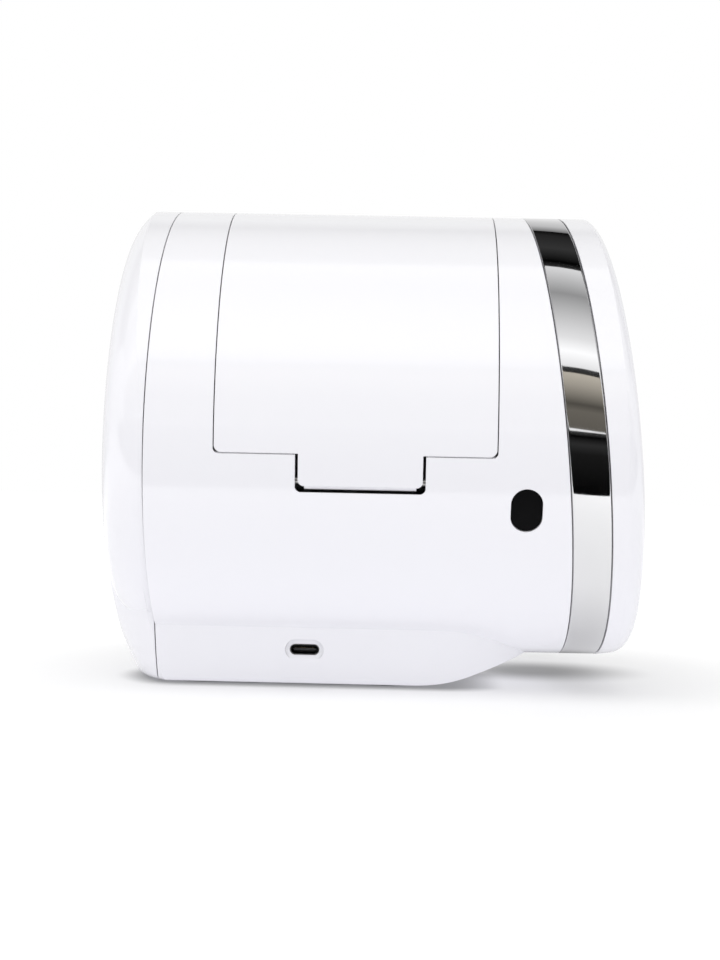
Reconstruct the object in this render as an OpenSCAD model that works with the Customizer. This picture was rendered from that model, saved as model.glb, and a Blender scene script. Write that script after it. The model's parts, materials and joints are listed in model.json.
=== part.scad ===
// Desktop thermal label printer: a tubular drum housing on a tapered foot, with a
// swing-up lid, a drop-in roll bay, a platen roller in the lid and a sprung print head.
// X runs along the drum axis towards the control disc, the hinge side is -Y, the
// label exit side is +Y, and Z is up from the surface that the rubber feet stand on.

/* [Drum] */
// Outer radius of the drum
drum_r = 70; // [66:0.5:76]
// Height of the drum axis above the table
axis_h = 80; // [79:0.5:90]
// Wall of every outer moulding
wall = 3; // [2.4:0.1:3.4]
// Visible seam between two outer mouldings
seam = 0.3; // [0.2:0.05:0.4]

/* [Lengthwise layout] */
// Seam between the left end cap and the drum housing
cap_seam_x = -64; // [-68:0.5:-62]
// Lean of that seam from upright, in degrees
cap_lean = 1.2; // [0:0.1:2]
// Turn of that seam seen from above, in degrees
cap_turn = 1.5; // [0:0.1:2]
// Left edge of the lid
lid_left_x = -45.8; // [-46.5:0.1:-45]
// Width of the lid
lid_w = 81.8; // [81:0.1:82.5]
// Distance of the trim ring from the lid, measured on the drum axis
ring_gap = 16.2; // [14:0.1:18]
// Width of the trim ring
ring_w = 11.5; // [8:0.5:14]

/* [End caps] */
// Lean of the control disc and the trim ring, in degrees
face_tilt = 6.1; // [4:0.1:8]
// Turn of the same two pieces seen from above, in degrees
face_turn = 2.6; // [1:0.1:4]
// Bulge of the control disc beyond the trim ring
face_depth = 16; // [14:0.5:18]
// Radius of the control disc's dome
face_dome_r = 381; // [340:1:420]
// Rounded edge of the control disc
face_edge_r = 5.4; // [5:0.1:7]
// Lean of the left end cap's face, in degrees
left_tilt = 2.4; // [1:0.1:3]
// Depth of the left end cap beyond its seam
left_depth = 20.4; // [19:0.1:22]
// Radius of the left end cap's dome
left_dome_r = 329; // [300:1:360]
// Rounded edge of the left end cap
left_edge_r = 16.5; // [15.5:0.1:17]

/* [Foot] */
// Half width of the foot where it leaves the drum
foot_top_y = 34.2; // [33:0.2:36]
// Half width of the foot at the bottom
foot_bottom_y = 25; // [24.5:0.2:25.4]
// Left end of the foot at the bottom
foot_left_x = -74.5; // [-75.5:0.5:-73]
// Lengthwise slope of the foot's left end, in degrees from upright
foot_left_slope = 26; // [22:1:28]
// Where the flat bottom starts to sweep up
foot_bow_x = 22; // [20:0.5:23]
// Angle of the sweep up to the drum
foot_bow_angle = 20.5; // [19:0.5:22]
// Centre of the foot's rounded right end
foot_round_x = 21; // [18:0.5:23]
// Radius of the sweep
foot_bow_r = 58; // [40:1:60]
// Plan radius of the foot's left end
foot_nose_r = 36; // [35:0.5:40]
// Rounded bottom edge of the foot
foot_edge_r = 4; // [4:0.5:5]
// How far the rubber feet stand below the foot
rubber_proud = 0.6; // [0.5:0.1:1.5]
// Radius of each rubber foot
rubber_r = 5; // [4:0.5:6]
// Thickness of the base plate
base_t = 2.4; // [2.2:0.1:2.8]

/* [Lid and hinge] */
// Height of the lid's lower edge below the drum axis
lid_drop = 8.4; // [7.5:0.1:9]
// Angle of the lid's front edge above level, in degrees
lid_front_angle = 25.2; // [24.8:0.1:27]
// Angle of the housing's front edge above level, in degrees
sill_angle = 19.2; // [18.5:0.1:19.6]
// Corner radius of the lid
lid_corner_r = 2.3; // [1.5:0.1:3]
// Depth of the hinge pin's centre below the drum's surface
hinge_depth = 2.6; // [2.5:0.05:2.7]
// Angle of the hinge pin below level
hinge_angle = 13.7; // [13.5:0.1:13.9]
// Radius of the hinge pin
hinge_pin_r = 1; // [0.8:0.1:1.1]
// Left edge of the hinge tab
tab_left_x = -21.3; // [-24:0.1:-18]
// Width of the hinge tab
tab_w = 35.9; // [30:0.1:38]
// How far the tab reaches below the lid's lower edge
tab_drop = 9.2; // [9:0.1:9.4]
// Gap at each side of the tab
tab_side_gap = 0.85; // [0.6:0.05:1.1]
// Swing gap below the tab
tab_low_gap = 1.75; // [1.7:0.05:2]

/* [Openings and buttons] */
// Distance of the power button's centre from the lid's edge
power_gap = 8.7; // [8:0.1:9.2]
// Angle of the power button below level, in degrees
power_angle = 19.6; // [18:0.1:21]
// Width of the power button
power_w = 9.2; // [8:0.1:10]
// Height of the power button
power_h = 13.1; // [12:0.1:14]
// Travel of a push button
button_travel = 0.8; // [0.5:0.1:1]
// Gap round a push button
button_gap = 0.3; // [0.2:0.05:0.35]
// Radius of the feed button
feed_r = 7; // [6:0.5:9]
// Place of the charging socket along the drum
usb_x = -20.2; // [-24:0.1:-16]
// Height of the charging socket above the table
usb_z = 11.8; // [11.4:0.1:12.2]
// Width of the charging socket's shell
usb_w = 8.94; // [8.9:0.01:9]
// Height of the charging socket's shell
usb_h = 3.16; // [3.1:0.01:3.2]

/* [Roll bay and drive] */
// Inner radius of the roll bay
bay_r = 48; // [46:0.5:48]
// Wall of the roll bay and its plates
plate_t = 2; // [1.8:0.1:2.2]
// Room for the gears between the lid's edge and the left side plate
gear_room = 7.2; // [7:0.1:7.6]
// Radius of the platen roller
platen_r = 5.5; // [5.2:0.1:5.7]
// Radius of the platen axle
platen_axle_r = 2.5; // [2.2:0.1:2.6]
// Depth of the platen's centre below the drum's surface
platen_depth = 11.9; // [11.6:0.1:12.3]
// Angle of the platen's centre above level
platen_rise = 27.7; // [27.5:0.1:28]
// Tooth module of the platen drive
gear_m = 0.6; // [0.58:0.01:0.6]
// Teeth of the platen gear
platen_teeth = 20; // [20:1:20]
// Teeth of the idler gear
idler_teeth = 24; // [24:1:24]
// Small teeth of the compound gear
compound_small_teeth = 14; // [14:1:14]
// Large teeth of the compound gear
compound_large_teeth = 40; // [40:1:40]
// Teeth of the motor pinion
pinion_teeth = 12; // [12:1:12]
// Radius of the drive motor
motor_r = 17.5; // [15:0.5:17.5]
// Length of the drive motor
motor_len = 17; // [14:0.5:17]
// Inward travel of each roll guide
guide_travel = 24; // [20:1:24]
// Tooth module of the roll guides' racks
rack_m = 0.8; // [0.8:0.05:0.8]
// Teeth of the roll guides' pinion
rack_pinion_teeth = 12; // [12:1:12]

/* [Hidden] */
$fn = 96;

// Fits
run_gap = 0.05;
slide_gap = 0.3;
seat_gap = 0.1;
crossing = 0.05;
past = 1;
far = 200;

// Places in the drum's own frame, as [y, z] from the drum axis
drum_in_r = drum_r - wall;
foot_h = axis_h - rubber_proud;
hinge = polar(drum_r - hinge_depth, 180 + hinge_angle);
platen = polar(drum_r - platen_depth, platen_rise);
lid_right_x = lid_left_x + lid_w;
lid_edge = [-sqrt(drum_r * drum_r - lid_drop * lid_drop), -lid_drop];
hinge_seam_r = norm(lid_edge - hinge);
knuckle_r = drum_r - norm(hinge) - seat_gap;
tab_right_x = tab_left_x + tab_w;
tab_low_z = -lid_drop - tab_drop;
power_x = lid_right_x + power_gap;
ring_x = lid_right_x + ring_gap;
ring_end_x = ring_x + ring_w / (cos(face_tilt) * cos(face_turn));
left_pivot_x = 14.3;

// Foot
foot_top_z = -sqrt(drum_r * drum_r - foot_top_y * foot_top_y);
foot_side_slope = atan((foot_top_y - foot_bottom_y) / (foot_h + foot_top_z));
foot_wall = 2.6;
foot_bow_tangent = foot_bow_r * tan(foot_bow_angle / 2);
foot_flat_end = foot_bow_x - foot_bow_tangent;
plate_x0 = cap_seam_x + 4;
plate_x1 = foot_flat_end - 1;
plate_half_y = foot_bottom_y - 5;
base_screw_x = [plate_x0 + 7, plate_x1 - 6];
base_screw_y = plate_half_y - 6;
base_boss_top = 14;
rubber_sunk = 0.8;

// Bay plates
left_plate_x = lid_left_x + gear_room;
bay_x0 = left_plate_x + plate_t;
right_plate_x = lid_right_x - 1 - plate_t;
bay_x1 = right_plate_x;
bay_mid_x = (bay_x0 + bay_x1) / 2;
side_plate_r = drum_in_r - slide_gap;
bay_out_r = bay_r + plate_t;

// Platen and its swing
platen_swing_r = norm(platen - hinge);
platen_angle = atan2(platen[1] - hinge[1], platen[0] - hinge[0]);
lift = [-sin(platen_angle), cos(platen_angle)];
lift_angle = platen_angle + 90;
bush_r = platen_axle_r + 0.9;
ear_t = 1.8;
ear_x0 = bay_x0 + 0.4;
ear_x1 = bay_x1 - 0.4;

// Drive, all gears turn about X
gear_x0 = lid_left_x + 1.5;
gear_x1 = left_plate_x - 1.9;
large_x1 = gear_x0 - 1.6;
large_x0 = large_x1 - 3;
motor_plate_x = large_x0 - 2.8;
motor_plate_t = 1.5;
idler = platen - lift * gear_m * (platen_teeth + idler_teeth) / 2;
compound_dir = 240;
compound = idler + polar(gear_m * (idler_teeth + compound_small_teeth) / 2, compound_dir);
motor_dir = 233;
motor = compound + polar(gear_m * (compound_large_teeth + pinion_teeth) / 2, motor_dir);
platen_phase = lift_angle + 180;
idler_phase = mesh_phase(platen_phase, platen_teeth, lift_angle + 180, idler_teeth);
small_phase = mesh_phase(idler_phase, idler_teeth, compound_dir, compound_small_teeth);
pinion_phase = mesh_phase(small_phase, compound_large_teeth, motor_dir, pinion_teeth);
post_r = 1.5;
motor_shaft_r = 1;
spacer_places = [for (p = [[-10.9, 16.7], [-10.9, -18.3], [16.1, -13.3]]) motor + p];
spacer_r = 2.5;

// Print head, which lies on a plane square to the lift
head_out = [cos(platen_angle), sin(platen_angle)];
head_face = platen - lift * (platen_r + 0.25);
head_tilt = platen_angle;
ceramic_t = 1.2;
sink_t = 4;
head_pivot = head_face - head_out * 12 - lift * 6.9;
head_pin_r = 1;
beam_z = head_face[1] - 17;
beam_t = 1.6;
beam_y0 = platen[0] - 6.1;
beam_y1 = platen[0] + 8.5;
spring_r = 2.4;
spring_wire = 0.5;
spring_y = platen[0] + 0.5;

// Roll guides
rack_pitch_r = rack_m * rack_pinion_teeth / 2;
guide_t = 2.4;
guide_r = 32;
hub_r = 10;
hub_len = 4;
stem_w = 5;
rack_z1 = -bay_out_r - 0.6;
rack_z0 = rack_z1 - 3;
rack_half_y = 8;
rack_reach = 37;
tray_wall_y = rack_half_y + 2;
tray_floor_z = rack_z0 - 0.4;
tray_t = 1.6;
tray_screw_x = [bay_x0 + 9.1, bay_x1 - 9.1];
tray_screw_y = 17;

// Boards and buttons
board_x = right_plate_x + plate_t + 5;
board_t = 1.6;
board_r = 56;
board_screw_places = [[34, 34], [-34, 34], [34, -34], [-34, -34]];
power_math_angle = 180 + power_angle;
feed_top = face_depth - 0.25;
feed_flange_top = face_depth - wall - 0.3;
feed_board_top = feed_flange_top - 1.4 - button_travel - 3.4;
usb_len = 7.4;
usb_y = -(foot_top_y - (axis_h - usb_z + foot_top_z) * tan(foot_side_slope));
usb_mouth_y = usb_y + 1.4;
usb_board_y = usb_y + foot_wall / cos(foot_side_slope)
              + (usb_h / 2 + 1.3) * tan(foot_side_slope) + slide_gap;
usb_board_len = 7;
usb_recess_w = 11.8;
usb_recess_h = 6.6;

battery_room = foot_h - base_t + tray_floor_z - tray_t - 1.2 - 2 * slide_gap;
cell_r = min(8, battery_room / 2, -(usb_board_y + usb_board_len) / 2 - 0.6);

// A point at radius r and angle a
function polar(r, a) = [r * cos(a), r * sin(a)];

// Turn of a gear that meshes with one turned by phase, at the given direction
function mesh_phase(phase, teeth, direction, next_teeth) =
    direction + 180 - (phase - direction) * teeth / next_teeth + 180 / next_teeth;

// Involute function, in degrees
function involute(a) = tan(a) * 180 / PI - a;

// Points of one tooth flank, from the root to the tip
function flank(teeth, m, side) =
    let (pitch = m * teeth / 2, base = pitch * cos(20), tip = pitch + m,
         half = 90 / teeth - 5 / teeth, start = max(base, pitch - m))
    [for (i = [0:4])
        let (r = start + (tip - start) * i / 4, a = acos(min(1, base / r)))
        polar(r, side * (half + involute(20) - involute(a)))];

// Outline of a spur gear with a tooth on the +X side
module gear_outline(teeth, m) {
    root = m * teeth / 2 - 1.25 * m;
    circle(r = root);
    for (i = [0:teeth - 1]) {
        rotate(i * 360 / teeth)
        polygon(concat([[0, -root * 0.2]], flank(teeth, m, -1),
                       [for (i = [4:-1:0]) flank(teeth, m, 1)[i]], [[0, root * 0.2]]));
    }
}

// Everything that is placed from the drum axis
module on_axis() {
    translate([0, 0, axis_h]) children();
}

// Extrudes a [y, z] outline along X
module along_x(x0, x1) {
    translate([x0, 0, 0]) rotate([90, 0, 90]) linear_extrude(height = x1 - x0) children();
}

// Extrudes an [x, z] outline along Y
module along_y(y0, y1) {
    translate([0, y1, 0]) rotate([90, 0, 0]) linear_extrude(height = y1 - y0) children();
}

// Round bar along X through a [y, z] place
module bar_x(place, x0, x1, r) {
    translate([x0, place[0], place[1]]) rotate([0, 90, 0]) cylinder(h = x1 - x0, r = r);
}

// Ring outline
module ring_outline(r_out, r_in) {
    difference() {
        circle(r = r_out);
        circle(r = r_in);
    }
}

// Sector outline that reaches past every part, between two angles
module sector(a0, a1) {
    polygon(concat([[0, 0]], [for (i = [0:6]) polar(far, a0 + (a1 - a0) * i / 6)]));
}

// Rectangle with rounded corners, centred
module rounded_rect(w, h, r) {
    square([w - 2 * r, h], center = true);
    square([w, h - 2 * r], center = true);
    for (sx = [-1, 1]) {
        for (sy = [-1, 1]) {
            translate([sx * (w / 2 - r), sy * (h / 2 - r)]) circle(r = r);
        }
    }
}

// Frame of the leaning control face, with its own +X outwards
module face_frame(x) {
    translate([x, 0, 0]) rotate([0, -face_tilt, face_turn]) children();
}

// Frame of the left end cap's leaning seam, with its own +X towards the housing
module seam_frame() {
    translate([cap_seam_x, 0, 0]) rotate([0, cap_lean, -cap_turn]) children();
}

// Frame of the left end cap's leaning face, with its own +X outwards
module left_frame() {
    translate([left_pivot_x, 0, 0]) mirror([1, 0, 0]) rotate([0, -left_tilt, 0]) children();
}

// Solid of revolution about X: a drum end with a domed face and a rounded edge
module domed_end(r0, base_x, depth, dome_r, edge_r) {
    edge_c = r0 - edge_r;
    dome_x = depth - dome_r;
    edge_x = dome_x + sqrt((dome_r - edge_r) * (dome_r - edge_r) - edge_c * edge_c);
    phi = atan2(edge_c, edge_x - dome_x);
    touch = [edge_c + edge_r * sin(phi), edge_x + edge_r * cos(phi)];
    rotate([0, 90, 0])
    rotate_extrude($fn = 128)
    intersection() {
        union() {
            translate([0, base_x]) square([r0, edge_x - base_x]);
            translate([edge_c, edge_x]) circle(r = edge_r);
            intersection() {
                translate([0, dome_x]) circle(r = dome_r, $fn = 256);
                translate([0, base_x]) square([touch[0], dome_r]);
                polygon([[0, dome_x], touch * 2 - [0, dome_x], [0, depth + dome_r]]);
            }
            polygon([[0, base_x], [edge_c, base_x], [edge_c, edge_x], touch, [0, touch[1]]]);
        }
        translate([0, base_x]) square([r0, far]);
    }
}

// Coil of round wire about Z, standing on z = 0
module coil(r, wire, turns, height) {
    sides = 6;
    steps = floor(turns * 14);
    rings = [for (i = [0:steps])
        let (a = 360 * turns * i / steps, z = wire + (height - 2 * wire) * i / steps)
        [for (k = [0:sides - 1])
            let (rr = r + wire * cos(360 * k / sides))
            [rr * cos(a), rr * sin(a), z + wire * sin(360 * k / sides)]]];
    walls = [for (i = [0:steps - 1]) for (k = [0:sides - 1])
        let (n = (k + 1) % sides)
        [i * sides + k, (i + 1) * sides + k, (i + 1) * sides + n, i * sides + n]];
    first = [for (k = [0:sides - 1]) k];
    last = [for (k = [sides - 1:-1:0]) steps * sides + k];
    polyhedron(points = [for (ring = rings) each ring], faces = concat([first], walls, [last]));
}

// Right half of the foot's outline, set in by w, with its lower edge rounded
module foot_half(half, slope, w) {
    edge_r = foot_edge_r - w;
    low_z = -foot_h + (w > 0 ? base_t : 0);
    low = half - w / cos(slope) + (low_z + foot_h) * tan(slope);
    tangent = edge_r / tan((90 + slope) / 2);
    rise = foot_h * 0.43;
    polygon([[0, low_z], [low - tangent, low_z],
             [low + tangent * sin(slope), low_z + tangent * cos(slope)],
             [low + rise * tan(slope), low_z + rise], [0, low_z + rise]]);
    translate([low - tangent, low_z + edge_r]) circle(r = edge_r);
}

// Side outline of the foot's right end, set in by w: a flat bottom that sweeps up
module foot_bow(w) {
    low_z = -foot_h + (w > 0 ? base_t : 0);
    bow_r = foot_bow_r - w;
    vertex = foot_bow_x - w / sin(foot_bow_angle) + (low_z + foot_h) / tan(foot_bow_angle);
    tangent = bow_r * tan(foot_bow_angle / 2);
    rise = foot_h * 0.42;
    difference() {
        polygon([[foot_left_x * 2, low_z], [vertex, low_z],
                 [vertex + rise / tan(foot_bow_angle), low_z + rise],
                 [foot_left_x * 2, low_z + rise]]);
        difference() {
            polygon([[vertex - tangent, low_z], [vertex, low_z - past],
                     [vertex + tangent * cos(foot_bow_angle),
                      low_z + tangent * sin(foot_bow_angle)]]);
            translate([vertex - tangent, low_z + bow_r]) circle(r = bow_r, $fn = 256);
        }
    }
}

// The tapered foot as a solid, set in by w
module foot_block(w) {
    nose_r = foot_nose_r;
    nose_x = foot_left_x + nose_r;
    intersection() {
        union() {
            along_x(foot_left_x - 20, foot_round_x) {
                foot_half(foot_bottom_y, foot_side_slope, w);
                mirror([1, 0]) foot_half(foot_bottom_y, foot_side_slope, w);
            }
            translate([foot_round_x, 0, 0])
                rotate_extrude() foot_half(foot_bottom_y, foot_side_slope, w);
        }
        along_y(-far, far) foot_bow(w);
        union() {
            translate([nose_x, 0, 0]) rotate_extrude() foot_half(nose_r, foot_left_slope, w);
            translate([nose_x, -far, -far]) cube([far, 2 * far, 2 * far]);
        }
    }
}

// Small filler that rounds a lower corner at [x, z]; side is 1 on the left, -1 on the right.
// Its circle is a touch large, so that it crosses both edges instead of grazing them.
module corner_filler(x, z, r, side) {
    translate([x, z]) mirror([side < 0 ? 1 : 0, 0]) difference() {
        translate([-past, -past]) square([r + past, r + past]);
        translate([r, r]) circle(r = r + crossing);
    }
}

// Both lower corners of a panel on the hinge side, as solids to take away
module corner_fillers(x0, x1, z, r) {
    along_y(-drum_r - past, -drum_r * 0.8) {
        corner_filler(x0, z, r, 1);
        corner_filler(x1, z, r, -1);
    }
}

// Outline of the lid's wrap in [y, z], ended at the back by an arc about the hinge pin
module lid_wrap(front_angle, seam_r, r_out, r_in) {
    difference() {
        ring_outline(r_out, r_in);
        translate(hinge) circle(r = seam_r);
        sector(180 + hinge_angle, 360 + front_angle);
    }
}

// Window that the lid closes
module lid_window() {
    difference() {
        along_x(lid_left_x, lid_right_x)
            lid_wrap(sill_angle, hinge_seam_r - seam, drum_r + past, drum_in_r - past);
        corner_fillers(lid_left_x, lid_right_x, -lid_drop - seam, lid_corner_r - 0.5);
    }
}

// Notch that the hinge tab swings in
module tab_notch() {
    x0 = tab_left_x - tab_side_gap;
    x1 = tab_right_x + tab_side_gap;
    low_z = tab_low_z - tab_low_gap;
    difference() {
        translate([x0, -drum_r - past, low_z]) cube([x1 - x0, 15, -low_z]);
        corner_fillers(x0, x1, low_z, 1.8);
    }
}

// Frame of the power button: its own +Y points out of the drum
module power_frame() {
    translate([power_x, 0, 0]) rotate([power_math_angle, 0, 0]) children();
}

// Upright oval outline
module oval(w, h) {
    for (s = [-1, 1]) translate([0, s * (h - w) / 2]) circle(r = w / 2);
    square([w, h - w], center = true);
}

// Lying oval outline
module slot_oval(w, h) {
    for (s = [-1, 1]) translate([s * (w - h) / 2, 0]) circle(r = h / 2);
    square([w - h, h], center = true);
}

// Solid of revolution about X that ends in a wide dome
module dome_face(depth, dome_r) {
    rotate([0, 90, 0])
    rotate_extrude($fn = 128)
    intersection() {
        translate([0, depth - dome_r]) circle(r = dome_r, $fn = 256);
        square([drum_r * 1.6, depth + past]);
    }
}

module drum_housing() {
    color("white") on_axis() difference() {
        union() {
            difference() {
                union() {
                    bar_x([0, 0], cap_seam_x - 5, far / 2, drum_r);
                    foot_block(0);
                }
                bar_x([0, 0], cap_seam_x - 6, far, drum_in_r);
                foot_block(foot_wall);
                lid_window();
                tab_notch();
            }
            hinge_bosses();
            usb_boss();
            base_bosses();
        }
        seam_frame() translate([seam / 2 - far, -far, -far]) cube([far, 2 * far, 2 * far]);
        face_frame(ring_x) translate([-seam / 2, -far, -far]) cube([far, 2 * far, 2 * far]);
        bar_x(hinge, tab_left_x - 12, tab_right_x + 12, hinge_pin_r + run_gap);
        power_frame() along_y(drum_in_r - 8, far) oval(power_w, power_h);
        usb_cuts();
        base_opening();
    }
}

// Bosses beside the tab that hold the hinge pin
module hinge_bosses() {
    boss_r = hinge_pin_r + 2.2;
    intersection() {
        bar_x([0, 0], -far, far, drum_r);
        union() {
            bar_x(hinge, tab_left_x - tab_side_gap - 9, tab_left_x - tab_side_gap, boss_r);
            bar_x(hinge, tab_right_x + tab_side_gap, tab_right_x + tab_side_gap + 9, boss_r);
        }
    }
}

// Thickened wall behind the charging socket's recess
module usb_boss() {
    intersection() {
        foot_block(0);
        translate([usb_x - 8.5, -far, usb_z - axis_h - 5.2]) cube([17, far + usb_mouth_y + 2, 10.4]);
    }
}

// Recess and hole for the charging socket
module usb_cuts() {
    translate([usb_x, 0, usb_z - axis_h]) {
        along_y(-far, usb_mouth_y) slot_oval(usb_recess_w, usb_recess_h);
        along_y(-far, usb_mouth_y + 5) slot_oval(usb_w + 2 * seat_gap, usb_h + 2 * seat_gap);
    }
}

// Screw bosses over the base plate, each tied to the foot's wall
module base_bosses() {
    boss_z = -foot_h + base_t;
    intersection() {
        foot_block(0.2);
        for (x = base_screw_x) {
            for (s = [-1, 1]) {
                translate([x, s * base_screw_y, boss_z + slide_gap]) difference() {
                    union() {
                        cylinder(h = base_boss_top, r = 3.2);
                        translate([-1, s > 0 ? 0 : -20, 1]) cube([2, 20, base_boss_top - 1]);
                    }
                    translate([0, 0, -past]) cylinder(h = base_boss_top - 3, r = 1.1);
                }
            }
        }
    }
}

// Opening in the foot's floor that the base plate fills
module base_opening() {
    translate([(plate_x0 + plate_x1) / 2, 0, -foot_h - past])
    linear_extrude(height = base_t + past + 0.01)
    rounded_rect(plate_x1 - plate_x0, 2 * plate_half_y, 3);
}

module left_end_cap() {
    left_apex = left_pivot_x - cap_seam_x + left_depth;
    base_x = left_pivot_x - cap_seam_x - 12;
    color("white") on_axis() {
        difference() {
            union() {
                intersection() {
                    bar_x([0, 0], -far, 0, drum_r);
                    left_frame() domed_end(drum_r + 0.2, base_x, left_apex, left_dome_r, left_edge_r);
                }
                intersection() {
                    foot_block(0);
                    left_frame() dome_face(left_apex - 0.05, left_dome_r);
                }
            }
            intersection() {
                bar_x([0, 0], -far, 0, drum_in_r);
                left_frame() domed_end(drum_r + 0.2 - wall, base_x, left_apex - wall,
                                       left_dome_r - wall, left_edge_r - wall);
            }
            intersection() {
                foot_block(foot_wall);
                left_frame() dome_face(left_apex - wall - 0.05, left_dome_r - wall);
            }
            seam_frame() translate([-seam / 2, -far, -far]) cube([far, 2 * far, 2 * far]);
        }
        cap_spigot();
    }
}

// Locating rim inside the cap's seam, left open where the foot passes
module cap_spigot() {
    difference() {
        union() {
            intersection() {
                bar_x([0, 0], cap_seam_x - 9, cap_seam_x + 9, drum_in_r - seat_gap);
                seam_frame() translate([-2, -far, -far]) cube([5, 2 * far, 2 * far]);
            }
            intersection() {
                bar_x([0, 0], cap_seam_x - 9, cap_seam_x + 9, drum_in_r + 0.5);
                seam_frame() translate([-2, -far, -far]) cube([2 - seam / 2, 2 * far, 2 * far]);
            }
        }
        bar_x([0, 0], cap_seam_x - 10, cap_seam_x + 10, drum_in_r - 1.8);
        translate([-far, -foot_top_y, -far]) cube([2 * far, 2 * foot_top_y, far + foot_top_z + 12]);
    }
}

module trim_ring() {
    color("gainsboro") on_axis() difference() {
        union() {
            intersection() {
                bar_x([0, 0], 0, far, drum_r);
                face_frame(ring_x) translate([seam / 2, -far, -far])
                    cube([ring_w - seam, 2 * far, 2 * far]);
            }
            intersection() {
                bar_x([0, 0], 0, far, drum_in_r - seat_gap);
                face_frame(ring_x) translate([-3, -far, -far]) cube([ring_w + 6, 2 * far, 2 * far]);
            }
        }
        bar_x([0, 0], 0, far, drum_in_r - 1.8);
    }
}

module control_disc() {
    hole_r = feed_r + button_gap;
    color("white") on_axis() difference() {
        union() {
            difference() {
                intersection() {
                    bar_x([0, 0], 0, far, drum_r);
                    face_frame(ring_end_x)
                        domed_end(drum_r + 0.5, seam / 2, face_depth, face_dome_r, face_edge_r);
                }
                intersection() {
                    bar_x([0, 0], 0, far, drum_in_r);
                    face_frame(ring_end_x)
                        domed_end(drum_r + 0.9 - wall, -past, face_depth - wall,
                                  face_dome_r - wall, face_edge_r - wall);
                }
            }
            face_frame(ring_end_x) feed_board_posts();
        }
        face_frame(ring_end_x) {
            bar_x([0, 0], 0, face_depth + past, hole_r);
            light_groove();
        }
    }
}

// Two posts inside the disc that carry the feed button's board
module feed_board_posts() {
    for (s = [-1, 1]) {
        bar_x([s * 12.5, 0], feed_board_top + seat_gap, face_depth - wall + 0.5, 2.4);
    }
}

// Groove that the status light lies in
module light_groove() {
    difference() {
        bar_x([0, 0], face_depth - 1.4, face_depth + past, feed_r + 3.6);
        bar_x([0, 0], face_depth - 2, face_depth + 2, feed_r + 2);
    }
}

module status_light() {
    color("lightcyan") on_axis() face_frame(ring_end_x) difference() {
        bar_x([0, 0], face_depth - 1.3, face_depth - 0.2, feed_r + 3.5);
        bar_x([0, 0], face_depth - 2, face_depth + 2, feed_r + 2.1);
    }
}

module feed_button() {
    color("whitesmoke") on_axis() face_frame(ring_end_x) rotate([0, 90, 0])
    rotate_extrude() polygon([
        [0, feed_flange_top - 1.4], [feed_r + 1.4, feed_flange_top - 1.4],
        [feed_r + 1.4, feed_flange_top], [feed_r, feed_flange_top],
        [feed_r, feed_top - 0.5], [feed_r - 0.5, feed_top], [0, feed_top]]);
}

module feed_board() {
    color("seagreen") on_axis() face_frame(ring_end_x) {
        difference() {
            bar_x([0, 0], feed_board_top - 1.2, feed_board_top, 16);
            for (s = [-1, 1]) bar_x([0, s * 13], feed_board_top - 2, feed_board_top + past, 1.2);
        }
        translate([feed_board_top, -3, -3]) cube([2.4, 6, 6]);
        bar_x([0, 0], feed_board_top + 2.4, feed_flange_top - 1.4 - button_travel - 0.1, 1.7);
    }
}

module base_plate() {
    color("gainsboro") on_axis() difference() {
        translate([(plate_x0 + plate_x1) / 2, 0, -foot_h])
        linear_extrude(height = base_t)
        rounded_rect(plate_x1 - plate_x0 - 2 * seam, 2 * plate_half_y - 2 * seam, 3 - seam);
        at_base_corners() {
            translate([0, 0, -past]) cylinder(h = past + rubber_sunk, r = rubber_r + seat_gap);
            cylinder(h = 2 * base_t, r = 1.6);
            translate([0, 0, rubber_sunk]) cylinder(h = 0.9, r = 2.9);
        }
        for (i = [-4:4]) {
            translate([(plate_x0 + plate_x1) / 2 + i * 4, 0, -foot_h - past])
            linear_extrude(height = base_t + 2 * past) oval(1.6, 16);
        }
    }
}

// The four corners of the base plate, on its underside
module at_base_corners() {
    for (x = base_screw_x) {
        for (s = [-1, 1]) translate([x, s * base_screw_y, -foot_h]) children();
    }
}

module rubber_feet() {
    color("dimgray") on_axis() at_base_corners()
    translate([0, 0, -rubber_proud])
    rotate_extrude() polygon([[0, 0], [rubber_r - 0.6, 0], [rubber_r, 0.6],
                              [rubber_r, rubber_proud + rubber_sunk], [0, rubber_proud + rubber_sunk]]);
}

module base_screws() {
    color("silver") on_axis() at_base_corners() {
        translate([0, 0, rubber_sunk + 0.05]) cylinder(h = 0.8, r = 2.7);
        translate([0, 0, rubber_sunk + 0.8]) cylinder(h = 9, r = 1);
    }
}

// Trough that the label roll lies in, with slots for the guides and the sensor
module roll_bay() {
    x0 = bay_x0 + seat_gap;
    x1 = bay_x1 - seat_gap;
    slot_y = stem_w / 2 + slide_gap;
    slot_len = guide_travel + guide_t + 3 * slide_gap;
    color("lightgray") on_axis() difference() {
        union() {
            along_x(x0, x1) {
                difference() {
                    circle(r = bay_out_r);
                    sector(3, 174);
                }
                translate([-bay_out_r - 13.5, bay_out_r * sin(5.4) - plate_t]) square([14.3, plate_t]);
            }
            for (i = [0:4]) {
                x = x0 + 6 + i * (x1 - x0 - 13.5) / 4;
                along_x(x, x + 1.5) bay_rib();
            }
            at_tray_screws() cylinder(h = 12, r = 2.6);
        }
        bar_x([0, 0], x0 - past, x1 + past, bay_r);
        translate([x0 - past, -slot_y, -far]) cube([past + slot_len, 2 * slot_y, far]);
        translate([x1 - slot_len, -slot_y, -far]) cube([past + slot_len, 2 * slot_y, far]);
        sensor_window();
        at_tray_screws() translate([0, 0, -past]) cylinder(h = 8, r = 0.9);
    }
}

// Curved rib under the hinge side of the trough
module bay_rib() {
    difference() {
        ring_outline(bay_out_r + 4, bay_out_r - 0.5);
        sector(-135, 177);
    }
}

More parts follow.
